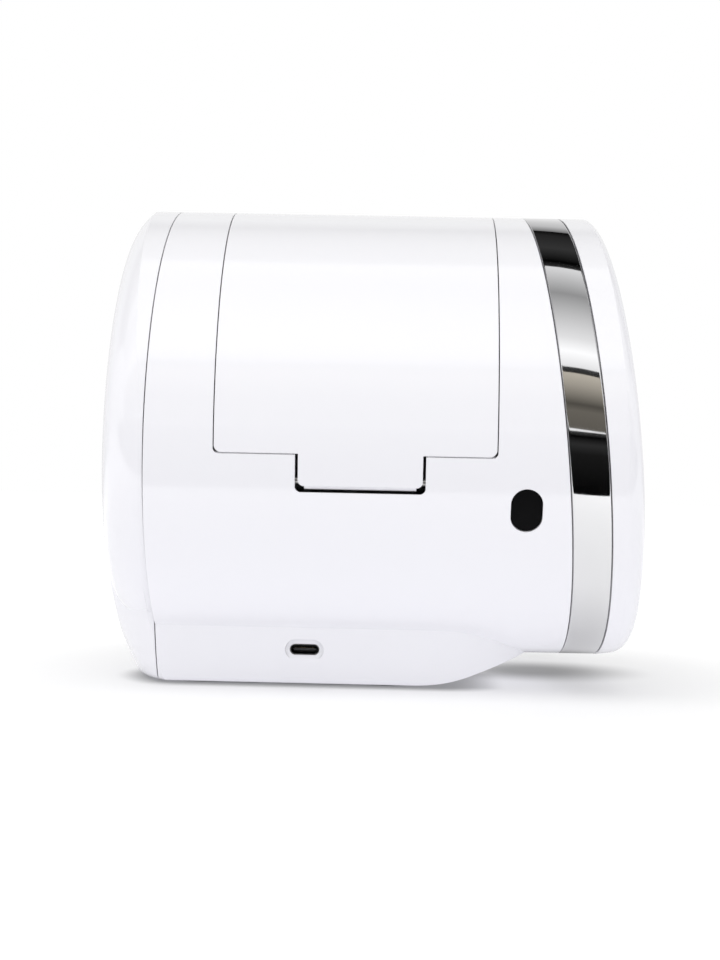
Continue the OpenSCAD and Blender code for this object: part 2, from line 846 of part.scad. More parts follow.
// Places of the screws that hold the rack tray to the trough, on the tray's floor
module at_tray_screws() {
    for (x = tray_screw_x) {
        for (s = [-1, 1]) translate([x, s * tray_screw_y, tray_floor_z]) children();
    }
}

// Window in the front of the trough for the sensor
module sensor_window() {
    translate([bay_mid_x - 5, 0, -12]) cube([10, far, 7]);
}

module label_sensor() {
    color("dimgray") on_axis() translate([bay_mid_x, 0, -8.5]) {
        translate([-4.7, bay_r - 0.4, -3.2]) cube([9.4, 3, 6.4]);
        translate([-7, bay_out_r + 0.2, -4.5]) cube([14, 1.6, 9]);
        for (s = [-1, 1]) {
            translate([s * 2, bay_r - 1, 0]) rotate([-90, 0, 0]) cylinder(h = 2, r = 1.2);
        }
    }
}

// Outline shared by both side plates: a disc, flat at the bottom, with a slot for the platen
module side_plate_outline() {
    difference() {
        circle(r = side_plate_r, $fn = 128);
        translate([-far, -far]) square([2 * far, far + tray_floor_z - tray_t - 2]);
        platen_slot();
        translate(head_pivot) circle(r = head_pin_r + run_gap);
        finger_scoop();
    }
}

// Slot that follows the bushing's swing about the hinge pin
module platen_slot() {
    w = bush_r + seat_gap;
    translate(platen) circle(r = w);
    intersection() {
        translate(hinge) ring_outline(platen_swing_r + w, platen_swing_r - w);
        translate(hinge) sector(platen_angle, platen_angle + 24);
    }
}

// Dip in the plates' upper edge that leaves room to grip the roll
module finger_scoop() {
    translate([-6, drum_in_r + 12]) circle(r = 32);
}

module left_side_plate() {
    color("silver") on_axis() difference() {
        along_x(left_plate_x, bay_x0) side_plate_outline();
        for (p = [idler, compound]) bar_x(p, left_plate_x - past, bay_x0 + past, post_r + run_gap);
        for (p = spacer_places) bar_x(p, left_plate_x - past, bay_x0 + past, 1.2);
    }
}

module right_side_plate() {
    color("silver") on_axis() difference() {
        along_x(right_plate_x, right_plate_x + plate_t) side_plate_outline();
        for (p = board_screw_places) bar_x(p, right_plate_x - past, right_plate_x + plate_t + past, 1.2);
    }
}

// Tray under the trough that carries the guides' racks and the pinion's post
module rack_tray() {
    x0 = bay_x0 + 2 * seat_gap;
    x1 = bay_x1 - 2 * seat_gap;
    color("gray") on_axis() difference() {
        union() {
            translate([x0, -21, tray_floor_z - tray_t]) cube([x1 - x0, 42, tray_t]);
            for (s = [-1, 1]) {
                translate([x0, s * tray_wall_y - 0.8, tray_floor_z - 0.1])
                    cube([x1 - x0, 1.6, rack_z1 - rack_z0 - 0.2]);
            }
            translate([bay_mid_x, 0, tray_floor_z - 0.1])
                cylinder(h = rack_z1 - tray_floor_z, r = 1.9);
        }
        at_tray_screws() translate([0, 0, -2 * tray_t]) cylinder(h = 3 * tray_t, r = 1.3);
    }
}

module tray_screws() {
    color("silver") on_axis() at_tray_screws() translate([0, 0, -tray_t - 1.2]) {
        cylinder(h = 1.2, r = 2.2);
        cylinder(h = 7, r = 0.85);
    }
}

// Serrated steel strip on the sill of the exit slot
module tear_bar() {
    strip_t = 0.6;
    flange_h = 7;
    r0 = sqrt(drum_in_r * drum_in_r - flange_h * flange_h) - seat_gap - strip_t;
    r1 = drum_r - 1.6;
    x0 = bay_x0 + 1;
    x1 = bay_x1 - 1;
    pitch = 1.6;
    count = floor((x1 - x0) / pitch);
    color("silver") on_axis() rotate([sill_angle, 0, 0]) {
        translate([x0, r0, seat_gap]) cube([x1 - x0, r1 - r0, strip_t]);
        translate([x0, r0, -flange_h]) cube([x1 - x0, strip_t, flange_h + seat_gap + strip_t]);
        translate([0, 0, seat_gap]) linear_extrude(height = strip_t)
        polygon(concat([[x0, r1 - 0.5]],
                       [for (i = [0:count - 1]) each [[x0 + i * pitch, r1],
                                                      [x0 + (i + 0.5) * pitch, r1 + 1.3]]],
                       [[x0 + count * pitch, r1], [x0 + count * pitch, r1 - 0.5]]));
    }
}

// Steel channel between the side plates that the head springs stand on
module head_beam() {
    color("darkgray") on_axis() difference() {
        along_x(bay_x0 + seat_gap, bay_x1 - seat_gap) {
            translate([beam_y0, beam_z - beam_t]) square([beam_y1 - beam_y0, beam_t]);
            translate([beam_y1 - beam_t, beam_z - beam_t]) square([beam_t, 8]);
        }
        for (s = [-1, 0, 1]) {
            translate([bay_mid_x + s * 18, (beam_y0 + beam_y1) / 2, beam_z - 2 * beam_t])
                linear_extrude(height = 3 * beam_t) slot_oval(9, 4);
        }
    }
}

// Places of the two head springs
module at_head_springs() {
    for (x = [bay_mid_x - 27, bay_mid_x + 27]) translate([x, spring_y, beam_z]) children();
}

module head_springs() {
    sink_low = head_face[1] + tan(head_tilt) * (spring_y - head_face[0])
               - (ceramic_t + sink_t) / cos(head_tilt);
    height = sink_low - beam_z - spring_r * tan(head_tilt) - 0.5;
    color("silver") on_axis() at_head_springs() coil(spring_r - spring_wire, spring_wire, 6, height);
}

// Frame of the print head: +Y along the label's way out, +Z square to the head
module head_frame() {
    translate([0, head_face[0], head_face[1]]) rotate([head_tilt, 0, 0]) children();
}

module print_head() {
    x0 = bay_x0 + 2.6;
    len = bay_x1 - bay_x0 - 5.2;
    color("darkgoldenrod") on_axis() head_frame() {
        translate([x0, -9, -ceramic_t]) cube([len, 13, ceramic_t - 0.1]);
        translate([x0 + 3, -8.6, -0.2]) cube([len - 6, 3.2, 1.1]);
        intersection() {
            translate([x0 + 1, 0, -2.08]) rotate([0, 90, 0]) cylinder(h = len - 2, r = 2.1);
            translate([x0, -3, -0.5]) cube([len, 6, 3]);
        }
    }
}

module head_heat_sink() {
    x0 = bay_x0 + 2.6;
    x1 = bay_x1 - 2.6;
    fins = 9;
    color("lightsteelblue") on_axis() head_frame() difference() {
        union() {
            translate([x0, -13, -ceramic_t - sink_t]) cube([x1 - x0, 16.5, sink_t - 0.02]);
            for (x = [x0, x1 - 8]) {
                bar_x([-12, -6.9], x, x + 8, 2.3);
                translate([x, -13.6, -6.9]) cube([8, 3.2, 2.6]);
            }
        }
        bar_x([-12, -6.9], x0 - past, x1 + past, head_pin_r + run_gap);
        for (i = [0:fins - 1]) {
            translate([x0 + 12 + i * (x1 - x0 - 26) / (fins - 1), -10.6, -ceramic_t - sink_t - past])
                cube([2, 20, sink_t - 1 + past]);
        }
        translate([x0 + 8, -14.5, -8]) cube([x1 - x0 - 16, 2.6, 5.6]);
    }
}

module head_pivot_pin() {
    color("silver") on_axis()
        bar_x(head_pivot, left_plate_x - 1, right_plate_x + plate_t + 1, head_pin_r);
}

// Stub shafts of the idler and the compound gear
module gear_posts() {
    color("silver") on_axis() {
        bar_x(idler, gear_x0 - 1.2, bay_x0 - seat_gap, post_r);
        bar_x(compound, large_x0 - 1.2, bay_x0 - seat_gap, post_r);
    }
}

module gear_clips() {
    color("dimgray") on_axis() {
        gear_clip(idler, gear_x0 - 0.7);
        gear_clip(compound, large_x0 - 0.7);
    }
}

// Snap ring on the end of a stub shaft
module gear_clip(place, x) {
    difference() {
        bar_x(place, x, x + 0.5, 2.9);
        bar_x(place, x - past, x + past, post_r + run_gap);
        translate([x - past, place[0] - 0.8, place[1]]) cube([3, 1.6, 5]);
    }
}

module motor_plate() {
    color("silver") on_axis() difference() {
        along_x(motor_plate_x, motor_plate_x + motor_plate_t) {
            polygon(spacer_places);
            for (p = spacer_places) translate(p) circle(r = 4.5);
            translate(motor) circle(r = motor_r - 1.5);
        }
        bar_x(motor, motor_plate_x - past, motor_plate_x + 3, 4);
        for (p = spacer_places) bar_x(p, motor_plate_x - past, motor_plate_x + 3, 1.3);
    }
}

module motor_spacers() {
    color("gold") on_axis() for (p = spacer_places) difference() {
        bar_x(p, motor_plate_x + motor_plate_t + seat_gap, left_plate_x - seat_gap, spacer_r);
        bar_x(p, motor_plate_x, left_plate_x, 1.2);
    }
}

module drive_motor() {
    x1 = motor_plate_x - seat_gap;
    color("silver") on_axis() difference() {
        union() {
            bar_x(motor, x1 - motor_len, x1, motor_r);
            bar_x(motor, x1 - past, x1 + 1.2, 3.8);
            translate([x1 - motor_len + 2, motor[0] - motor_r - 2.5, motor[1] - 7])
                cube([8, 8, 14]);
        }
        bar_x(motor, x1 - 8, x1 + 3, motor_shaft_r + run_gap);
    }
}

module motor_shaft() {
    color("silver") on_axis() bar_x(motor, motor_plate_x - 7, large_x1 + 1, motor_shaft_r);
}

module motor_pinion() {
    color("gold") on_axis() difference() {
        along_x(large_x0 - 0.4, large_x1 + 0.4)
            translate(motor) rotate(pinion_phase) gear_outline(pinion_teeth, gear_m);
        bar_x(motor, large_x0 - 2, large_x1 + 2, motor_shaft_r + run_gap);
    }
}

module compound_gear() {
    color("white") on_axis() difference() {
        union() {
            along_x(large_x0, large_x1)
                translate(compound) rotate(small_phase) gear_outline(compound_large_teeth, gear_m);
            along_x(large_x1 - 0.5, gear_x1)
                translate(compound) rotate(small_phase) gear_outline(compound_small_teeth, gear_m);
        }
        bar_x(compound, large_x0 - past, gear_x1 + past, post_r + run_gap);
        along_x(large_x0 - past, large_x0 + 1) translate(compound) ring_outline(9.6, 4);
    }
}

module idler_gear() {
    color("white") on_axis() difference() {
        along_x(gear_x0, gear_x1)
            translate(idler) rotate(idler_phase) gear_outline(idler_teeth, gear_m);
        bar_x(idler, gear_x0 - past, gear_x1 + past, post_r + run_gap);
        along_x(gear_x0 - past, gear_x0 + 1.2) translate(idler) ring_outline(5.4, 3.2);
    }
}

module platen_gear() {
    color("white") on_axis() difference() {
        along_x(gear_x0, gear_x1)
            translate(platen) rotate(platen_phase) gear_outline(platen_teeth, gear_m);
        bar_x(platen, gear_x0 - past, gear_x1 + past, platen_axle_r + run_gap);
    }
}

module platen_axle() {
    color("silver") on_axis()
        bar_x(platen, gear_x0 - 0.3, right_plate_x + plate_t + 0.5, platen_axle_r);
}

module platen_rubber() {
    color("dimgray") on_axis() difference() {
        bar_x(platen, ear_x0 + ear_t + 0.9, ear_x1 - ear_t - 0.9, platen_r);
        bar_x(platen, ear_x0, ear_x1, platen_axle_r + run_gap);
    }
}

module platen_bushings() {
    color("ivory") on_axis() difference() {
        union() {
            bar_x(platen, left_plate_x - 0.5, ear_x0 + ear_t + 0.1, bush_r);
            bar_x(platen, ear_x0 + ear_t + seat_gap, ear_x0 + ear_t + 0.6, bush_r + 1.2);
            bar_x(platen, ear_x1 - ear_t - 0.1, right_plate_x + plate_t + 0.3, bush_r);
            bar_x(platen, ear_x1 - ear_t - 0.6, ear_x1 - ear_t - seat_gap, bush_r + 1.2);
        }
        bar_x(platen, left_plate_x - past, right_plate_x + 2 * plate_t, platen_axle_r + run_gap);
    }
}

module lid_shell() {
    tab_r = hinge_pin_r + run_gap + 0.85;
    mid_x = tab_left_x + tab_w / 2;
    color("white") on_axis() difference() {
        union() {
            difference() {
                along_x(lid_left_x + seam, lid_right_x - seam)
                    lid_wrap(lid_front_angle, hinge_seam_r, drum_r, drum_in_r);
                corner_fillers(lid_left_x + seam, lid_right_x - seam, -lid_drop, lid_corner_r);
            }
            difference() {
                along_x(tab_left_x, tab_right_x) lid_tab_outline();
                corner_fillers(tab_left_x, tab_right_x, tab_low_z, 1.8);
            }
            at_liner_screws() translate([0, 0, drum_in_r - 0.3]) cylinder(h = 1.5, r = 2.8);
        }
        bar_x(hinge, tab_left_x - past, tab_right_x + past, hinge_pin_r + run_gap);
        bar_x(hinge, mid_x - 3.5, mid_x + 3.5, tab_r);
        translate([mid_x - 3.5, hinge[0], hinge[1] - 1.2]) cube([7, 6, 2.4]);
        at_liner_screws() translate([0, 0, drum_in_r - past]) cylinder(h = 2.8, r = 1.1);
    }
}

// Outline of the tab and its hinge barrel
module lid_tab_outline() {
    intersection() {
        ring_outline(drum_r, drum_in_r);
        translate([-drum_r - past, tab_low_z]) square([20, tab_drop + 1.5]);
    }
    translate(hinge) circle(r = knuckle_r);
}

// Places of the screws between the lid and its liner, +Z outwards
module at_liner_screws() {
    for (x = [ear_x0 + 9, ear_x1 - 9]) {
        for (a = [62, 122]) translate([x, 0, 0]) rotate([a - 90, 0, 0]) children();
    }
}

module lid_liner() {
    liner_r = drum_in_r - 0.4;
    color("gainsboro") on_axis() difference() {
        union() {
            along_x(ear_x0, ear_x1) intersection() {
                ring_outline(liner_r, liner_r - 2);
                sector(lid_front_angle + 1.5, 165);
            }
            for (i = [0:6]) {
                x = ear_x0 + 5 + i * (ear_x1 - ear_x0 - 11.2) / 6;
                along_x(x, x + 1.2) intersection() {
                    ring_outline(liner_r - 1, liner_r - 4.5);
                    sector(50, 158);
                }
            }
            for (x = [ear_x0, ear_x1 - ear_t]) along_x(x, x + ear_t) liner_ear(liner_r);
        }
        bar_x(platen, ear_x0 - past, ear_x1 + past, bush_r + run_gap);
        at_liner_screws() {
            translate([0, 0, liner_r - 4]) cylinder(h = 6, r = 1.4);
            translate([0, 0, liner_r - 6]) cylinder(h = 4.2, r = 3);
        }
    }
}

// Ear that carries one end of the platen
module liner_ear(liner_r) {
    translate(platen) circle(r = bush_r + 2);
    intersection() {
        ring_outline(liner_r - 0.2, liner_r - 9);
        sector(lid_front_angle + 4, 52);
    }
}

module liner_screws() {
    liner_r = drum_in_r - 0.4;
    color("silver") on_axis() at_liner_screws() {
        translate([0, 0, liner_r - 3.3]) cylinder(h = 1.45, r = 2.5);
        translate([0, 0, liner_r - 3]) cylinder(h = 4.6, r = 1);
    }
}

module hinge_pin() {
    color("silver") on_axis()
        bar_x(hinge, tab_left_x - tab_side_gap - 8.8, tab_right_x + tab_side_gap + 8.8, hinge_pin_r);
}

module lid_spring() {
    mid_x = tab_left_x + tab_w / 2;
    wire = 0.25;
    color("silver") on_axis() translate([mid_x - 3, hinge[0], hinge[1]]) rotate([0, 90, 0])
        coil(hinge_pin_r + run_gap + wire + 0.15, wire, 9, 6);
}

module power_button() {
    color("dimgray") on_axis() intersection() {
        power_frame() {
            along_y(drum_in_r - 5.5, drum_r) oval(power_w - 2 * button_gap, power_h - 2 * button_gap);
            along_y(drum_in_r - 3.4, drum_in_r - 1.9) oval(power_w + 2.4, power_h + 2);
        }
        bar_x([0, 0], power_x - 20, power_x + 20, drum_r - 0.35);
    }
}

module power_switch() {
    tip = drum_in_r - 5.5 - button_travel - seat_gap;
    color("dimgray") on_axis() power_frame() {
        translate([-3, tip - 4.6, -3]) cube([6, 3.4, 6]);
        translate([0, tip, 0]) rotate([90, 0, 0]) cylinder(h = 1.3, r = 1.6);
    }
}

module main_board() {
    chip_x = board_x + board_t;
    color("seagreen") on_axis() difference() {
        union() {
            along_x(board_x, board_x + board_t) circle(r = board_r);
            translate([chip_x - 0.1, -9, -9]) cube([1.7, 18, 18]);
            translate([chip_x - 0.1, 14, -4]) cube([1.3, 9, 9]);
            translate([chip_x - 0.1, -30, -12]) cube([1.5, 12, 8]);
            for (i = [0:2]) bar_x([-18 + i * 11, 30], chip_x - 0.1, chip_x + 6, 4);
            for (i = [0:3]) translate([chip_x - 0.1, -24 + i * 13, -38]) cube([5, 9, 5]);
        }
        for (p = board_screw_places) bar_x(p, board_x - past, chip_x + past, 1.4);
        power_frame() translate([-far, drum_in_r - 12.5, -4]) cube([2 * far, 20, 8]);
    }
}

module board_standoffs() {
    color("gold") on_axis() for (p = board_screw_places) difference() {
        bar_x(p, right_plate_x + plate_t + seat_gap, board_x - seat_gap, 2.5);
        bar_x(p, right_plate_x, board_x + past, 1.15);
    }
}

module board_screws() {
    color("silver") on_axis() for (p = board_screw_places) {
        bar_x(p, board_x + board_t + 0.05, board_x + board_t + 1.5, 2.4);
        bar_x(p, right_plate_x + plate_t + 1, board_x + board_t + 1, 1);
    }
}

// Metal shell of the charging socket, with its tongue
module usb_socket() {
    back_y = usb_mouth_y + 0.3;
    color("silver") on_axis() translate([usb_x, 0, usb_z - axis_h]) {
        difference() {
            along_y(back_y, back_y + usb_len) slot_oval(usb_w, usb_h);
            along_y(back_y - past, back_y + usb_len - 1) slot_oval(usb_w - 0.6, usb_h - 0.6);
        }
        translate([-3.35, back_y + 1, -0.35]) cube([6.7, usb_len - 1.5, 0.7]);
    }
}

module usb_board() {
    color("seagreen") on_axis()
    translate([usb_x - 8, usb_board_y, usb_z - axis_h - usb_h / 2 - 1.3])
        cube([16, usb_board_len, 1.2]);
}

module battery_pack() {
    x0 = base_screw_x[0] + 6;
    x1 = base_screw_x[1] - 6;
    low_z = -foot_h + base_t + slide_gap;
    cell_y = cell_r + 0.6;
    color("steelblue") on_axis() difference() {
        union() {
            for (s = [-1, 1]) bar_x([s * cell_y, low_z + cell_r], x0, x1, cell_r);
            translate([x0, -cell_y, low_z]) cube([x1 - x0, 2 * cell_y, 2 * cell_r]);
        }
        translate([x0 - past, -0.6, low_z + 2 * cell_r - 1]) cube([x1 - x0 + 2 * past, 1.2, 3]);
    }
}

// One roll guide, as it stands on the left; the right one is the same piece turned about
module guide() {
    x0 = bay_x0 + slide_gap;
    x1 = x0 + guide_t;
    difference() {
        union() {
            bar_x([0, 0], x0, x1, guide_r);
            bar_x([0, 0], x1 - 0.1, x1 + hub_len, hub_r);
            translate([x0, -stem_w / 2, rack_z0 + 0.05]) cube([guide_t, stem_w, -rack_z0 - guide_r + 2]);
            translate([x0, -stem_w / 2, rack_z0 + 0.05]) cube([guide_t, stem_w / 2 + rack_half_y, 2.9]);
        }
        bar_x([0, 0], x0 - past, x1 + hub_len + past, hub_r - 2);
        for (i = [0:5]) bar_x(polar(22, 30 + i * 60), x0 - past, x1 + past, 5.5);
    }
    translate([0, 0, rack_z0 + 0.05]) linear_extrude(height = 2.9) rack_outline(x0);
}

// Toothed bar at y = +pitch radius, with a tooth gap facing the middle of the bay
module rack_outline(x0) {
    pitch = rack_m * PI;
    first = ceil((x0 + 3 - bay_mid_x) / pitch);
    last = floor((x0 + rack_reach - bay_mid_x) / pitch);
    root_y = rack_pitch_r + 1.25 * rack_m;
    translate([x0, root_y]) square([rack_reach, rack_half_y - root_y]);
    half = pitch / 4 - 0.06;
    for (i = [first:last - 1]) {
        x = bay_mid_x + (i + 0.5) * pitch;
        polygon([[x - half - 1.25 * rack_m * tan(20), root_y + 0.01],
                 [x + half + 1.25 * rack_m * tan(20), root_y + 0.01],
                 [x + half - rack_m * tan(20), rack_pitch_r - rack_m],
                 [x - half + rack_m * tan(20), rack_pitch_r - rack_m]]);
    }
}

module left_guide() {
    color("skyblue") on_axis() guide();
}

module right_guide() {
    color("skyblue") on_axis() translate([2 * bay_mid_x, 0, 0]) rotate([0, 0, 180]) guide();
}

module guide_pinion() {
    color("white") on_axis() translate([bay_mid_x, 0, rack_z0 + 0.1]) difference() {
        linear_extrude(height = 2.8) rotate(90) gear_outline(rack_pinion_teeth, rack_m);
        translate([0, 0, -past]) cylinder(h = 5, r = 1.9 + run_gap);
    }
}

drum_housing();
left_end_cap();
trim_ring();
control_disc();
base_plate();
rubber_feet();
base_screws();
roll_bay();
left_side_plate();
right_side_plate();
rack_tray();
tray_screws();
tear_bar();
head_beam();
head_springs();
head_pivot_pin();
label_sensor();
gear_posts();
gear_clips();
motor_plate();
motor_spacers();
drive_motor();
main_board();
board_standoffs();
board_screws();
power_switch();
feed_board();
status_light();
usb_socket();
usb_board();
battery_pack();
hinge_pin();
lid_spring();
lid_shell();
lid_liner();
liner_screws();
platen_bushings();
platen_axle();
platen_rubber();
platen_gear();
idler_gear();
compound_gear();
motor_pinion();
motor_shaft();
left_guide();
right_guide();
guide_pinion();
print_head();
head_heat_sink();
power_button();
feed_button();
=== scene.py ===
# %% [markdown]
# # A desktop thermal label printer
# This notebook dresses a label printer: a gloss white drum on a tapered foot, with a
# chrome trim ring, a swing-up lid and the printing works under it. The mechanical model
# gives every hard piece its exact shape and place, so the lesson is about surfaces,
# about light, and about the few pieces that are better grown from a rule.

# %% Load the mechanical model
import json
import math

import bmesh
import bpy
from mathutils import Matrix, Vector


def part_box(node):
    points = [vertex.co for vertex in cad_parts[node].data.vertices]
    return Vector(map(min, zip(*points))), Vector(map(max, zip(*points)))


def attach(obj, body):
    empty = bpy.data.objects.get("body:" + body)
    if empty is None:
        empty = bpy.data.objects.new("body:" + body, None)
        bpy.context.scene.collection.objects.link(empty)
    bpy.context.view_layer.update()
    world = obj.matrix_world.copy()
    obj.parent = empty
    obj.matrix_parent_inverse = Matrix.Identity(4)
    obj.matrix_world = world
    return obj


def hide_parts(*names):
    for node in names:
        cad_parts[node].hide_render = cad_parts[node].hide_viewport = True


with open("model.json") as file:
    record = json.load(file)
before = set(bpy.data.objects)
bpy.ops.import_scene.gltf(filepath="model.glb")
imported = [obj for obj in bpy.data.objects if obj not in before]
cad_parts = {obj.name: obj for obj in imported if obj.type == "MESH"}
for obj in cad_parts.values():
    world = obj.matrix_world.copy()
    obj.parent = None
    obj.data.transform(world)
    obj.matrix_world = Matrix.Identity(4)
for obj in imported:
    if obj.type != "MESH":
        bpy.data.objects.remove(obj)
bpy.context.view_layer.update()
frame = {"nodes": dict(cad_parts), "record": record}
nodes = frame["nodes"]

# %% [markdown]
# Everything on this printer is placed from the axis of its drum. The sizes below are the
# ones that a maker reads from the drawing, in metres, and later cells use them by name.

# %% Sizes of the drum
DRUM_RADIUS = 0.070
AXIS_HEIGHT = 0.080
MILLIMETRE = 0.001
drum_axis = Vector((0.0, 0.0, AXIS_HEIGHT))
print("drum", DRUM_RADIUS * 2, "m across, axis", AXIS_HEIGHT, "m above the table")

# %% [markdown]
# Materials, the room and the rules further down are all graphs of nodes. Building one by
# hand takes many clicks, so one small function adds a node, sets its properties and then
# fills each input: with a link if it is given another node's output, or with a value.

# %% A helper that adds a node
def add_node(tree, kind, inputs=None, **settings):
    made = tree.nodes.new(kind)
    for key, value in settings.items():
        setattr(made, key, value)
    for key, value in (inputs or {}).items():
        if isinstance(value, bpy.types.NodeSocket):
            tree.links.new(value, made.inputs[key])
        else:
            made.inputs[key].default_value = value
    return made


def empty_material(name):
    """A material whose node tree has nothing in it yet."""
    made = bpy.data.materials.new(name)
    made.use_nodes = True
    made.node_tree.nodes.clear()
    return made


print("the node helper is ready")

# %% [markdown]
# A finish is a material with a few habits. Each one below reads as a recipe: a colour, a
# roughness that varies a little, and a fine relief.

# %% A helper that builds a finish
class Finish:
    """A node material built line by line. Patterns read object coordinates, in metres."""

    def __init__(self, name, colour, roughness, metallic=0.0):
        self.material = bpy.data.materials.new(name)
        self.material.use_nodes = True
        self.tree = self.material.node_tree
        self.shader = self.tree.nodes["Principled BSDF"]
        self.material.diffuse_color = (*colour, 1.0)
        self.colour = (*colour, 1.0)
        self.set("Base Color", self.colour)
        self.set("Roughness", roughness)
        self.set("Metallic", metallic)
        self.roughness = roughness
        self.relief = None
        self.place = self.node("ShaderNodeTexCoord").outputs["Object"]

    def set(self, socket, value):
        self.shader.inputs[socket].default_value = value

    def drive(self, socket, source):
        self.tree.links.new(source, self.shader.inputs[socket])

    def node(self, kind, inputs=None, **settings):
        return add_node(self.tree, kind, inputs, **settings)

    def stretched(self, scale):
        """Object coordinates stretched by three factors, for brushed or turned marks."""
        return self.node("ShaderNodeMapping", {"Vector": self.place, "Scale": scale}).outputs[0]

    def noise(self, per_metre, detail=2.0, where=None):
        inputs = {"Vector": where or self.place, "Scale": per_metre, "Detail": detail}
        return self.node("ShaderNodeTexNoise", inputs).outputs["Fac"]

    def between(self, factor, low, high):
        """Maps a 0 to 1 pattern onto a range of numbers."""
        inputs = {"Value": factor, "To Min": low, "To Max": high}
        return self.node("ShaderNodeMapRange", inputs).outputs["Result"]

    def step(self, factor, low, high):
        """A pattern cut sharply between two levels, from 0 to 1."""
        inputs = {"Value": factor, "From Min": low, "From Max": high}
        return self.node("ShaderNodeMapRange", inputs).outputs["Result"]

    def mix(self, factor, first, second):
        """Mixes two colours. In this node socket 0 is the factor, 6 and 7 the colours."""
        inputs = {0: factor, 6: first, 7: second}
        return self.node("ShaderNodeMix", inputs, data_type="RGBA").outputs[2]

    def math(self, operation, first, second=0.0):
        return self.node("ShaderNodeMath", {0: first, 1: second}, operation=operation).outputs[0]

    def along(self, direction, origin):
        """How far a point lies from an origin along a direction, in metres."""
        moved = self.node("ShaderNodeVectorMath", {0: self.place, 1: origin}, operation="SUBTRACT")
        return self.node("ShaderNodeVectorMath", {0: moved.outputs[0], 1: direction},
                         operation="DOT_PRODUCT").outputs["Value"]

    def paint(self, mask, colour):
        """Lays a colour over what the shader has so far, where the mask is 1."""
        socket = self.shader.inputs["Base Color"]
        under = socket.links[0].from_socket if socket.is_linked else self.colour
        self.drive("Base Color", self.mix(mask, under, colour))

    def vary_colour(self, factor, amount):
        """Lightens and darkens the base colour with a pattern."""
        dark = (*(c * (1.0 - amount) for c in self.colour[:3]), 1.0)
        self.drive("Base Color", self.mix(factor, dark, self.colour))

    def vary_roughness(self, factor, spread):
        low, high = self.roughness - spread, self.roughness + spread
        self.drive("Roughness", self.between(factor, low, high))

    def bump(self, height, depth_mm):
        """Adds relief of a real depth. Later calls lie on top of earlier ones."""
        inputs = {"Height": height, "Strength": 1.0, "Distance": depth_mm * MILLIMETRE}
        if self.relief is not None:
            inputs["Normal"] = self.relief
        self.relief = self.node("ShaderNodeBump", inputs).outputs["Normal"]
        self.drive("Normal", self.relief)

    def soft_edges(self, radius_mm):
        """Shades the sharp edges of a moulding as if they had a small radius."""
        inputs = {"Radius": radius_mm * MILLIMETRE}
        self.relief = self.node("ShaderNodeBevel", inputs, samples=4).outputs["Normal"]
        self.drive("Normal", self.relief)


finishes = {}
print("the finish helper is ready")

# %% [markdown]
# The outer shell of such a printer is ABS moulded in a polished tool and shot in bright
# white. It isn't a perfect mirror: the plastic shrinks a little as it cools, which leaves
# a very shallow waviness, and the gloss differs slightly from place to place.

# %% Gloss white ABS
shell = Finish("gloss_white_abs", (0.865, 0.862, 0.882), 0.13)
shell.set("IOR", 1.53)
shell.set("Coat Weight", 0.25)
shell.set("Coat Roughness", 0.05)
shell.soft_edges(0.35)
shell.vary_colour(shell.noise(14.0, 3.0), 0.012)
shell.vary_roughness(shell.noise(160.0, 4.0), 0.03)
shell.bump(shell.noise(55.0, 1.0), 0.05)
shell.bump(shell.noise(2600.0, 2.0), 0.0008)
finishes["white_abs"] = shell.material
print("made", shell.material.name)

# %% [markdown]
# The trim ring is plastic plated with chrome. Plating copies the moulding under it, so
# the mirror has long soft waves and a few hair-fine wiping marks that run round the ring.

# %% Plated chrome
chrome = Finish("plated_chrome", (0.80, 0.80, 0.81), 0.045, metallic=1.0)
chrome.soft_edges(0.25)
chrome.vary_roughness(chrome.noise(90.0, 4.0, chrome.stretched((6.0, 1.0, 1.0))), 0.02)
chrome.bump(chrome.noise(38.0, 1.0), 0.06)
chrome.bump(chrome.noise(300.0, 2.0, chrome.stretched((8.0, 0.4, 0.4))), 0.0006)
finishes["chrome_trim"] = chrome.material
print("made", chrome.material.name)

# %% [markdown]
# Buttons, sensors and switches are moulded in spark-eroded tools, which leave a fine
# pebbled grain. A stretched noise of about a tenth of a millimetre gives that grain, and
# the same recipe in lighter tones serves for the grey inner mouldings.

# %% Textured plastics
def textured_plastic(name, colour, roughness, grain_per_metre, depth_mm):
    made = Finish(name, colour, roughness)
    made.soft_edges(0.2)
    grain = made.noise(grain_per_metre, 3.0)
    made.vary_colour(made.noise(22.0, 2.0), 0.08)
    made.vary_roughness(grain, 0.07)
    made.bump(grain, depth_mm)
    return made


black = textured_plastic("eroded_black_abs", (0.018, 0.018, 0.020), 0.46, 3200.0, 0.03)
grey = textured_plastic("eroded_grey_abs", (0.36, 0.37, 0.39), 0.52, 2400.0, 0.03)
acetal = textured_plastic("natural_acetal", (0.86, 0.86, 0.82), 0.34, 1500.0, 0.006)
blue = textured_plastic("tinted_acetal", (0.10, 0.27, 0.46), 0.36, 1500.0, 0.006)
soft_touch = textured_plastic("soft_touch_black", (0.003, 0.003, 0.0033), 0.55, 2600.0, 0.015)
soft_touch.set("Specular IOR Level", 0.06)
for part, slot in ((black, "black_abs"), (grey, "grey_abs"), (acetal, "pom_white"), (blue, "pom_blue")):
    finishes[slot] = part.material
print("made", len(finishes), "finishes so far")

# %% [markdown]
# Rubber is matt and slightly dusty. The platen roller is ground after moulding, so very
# fine rings run round it; on the feet the same rings read as a moulded grain.

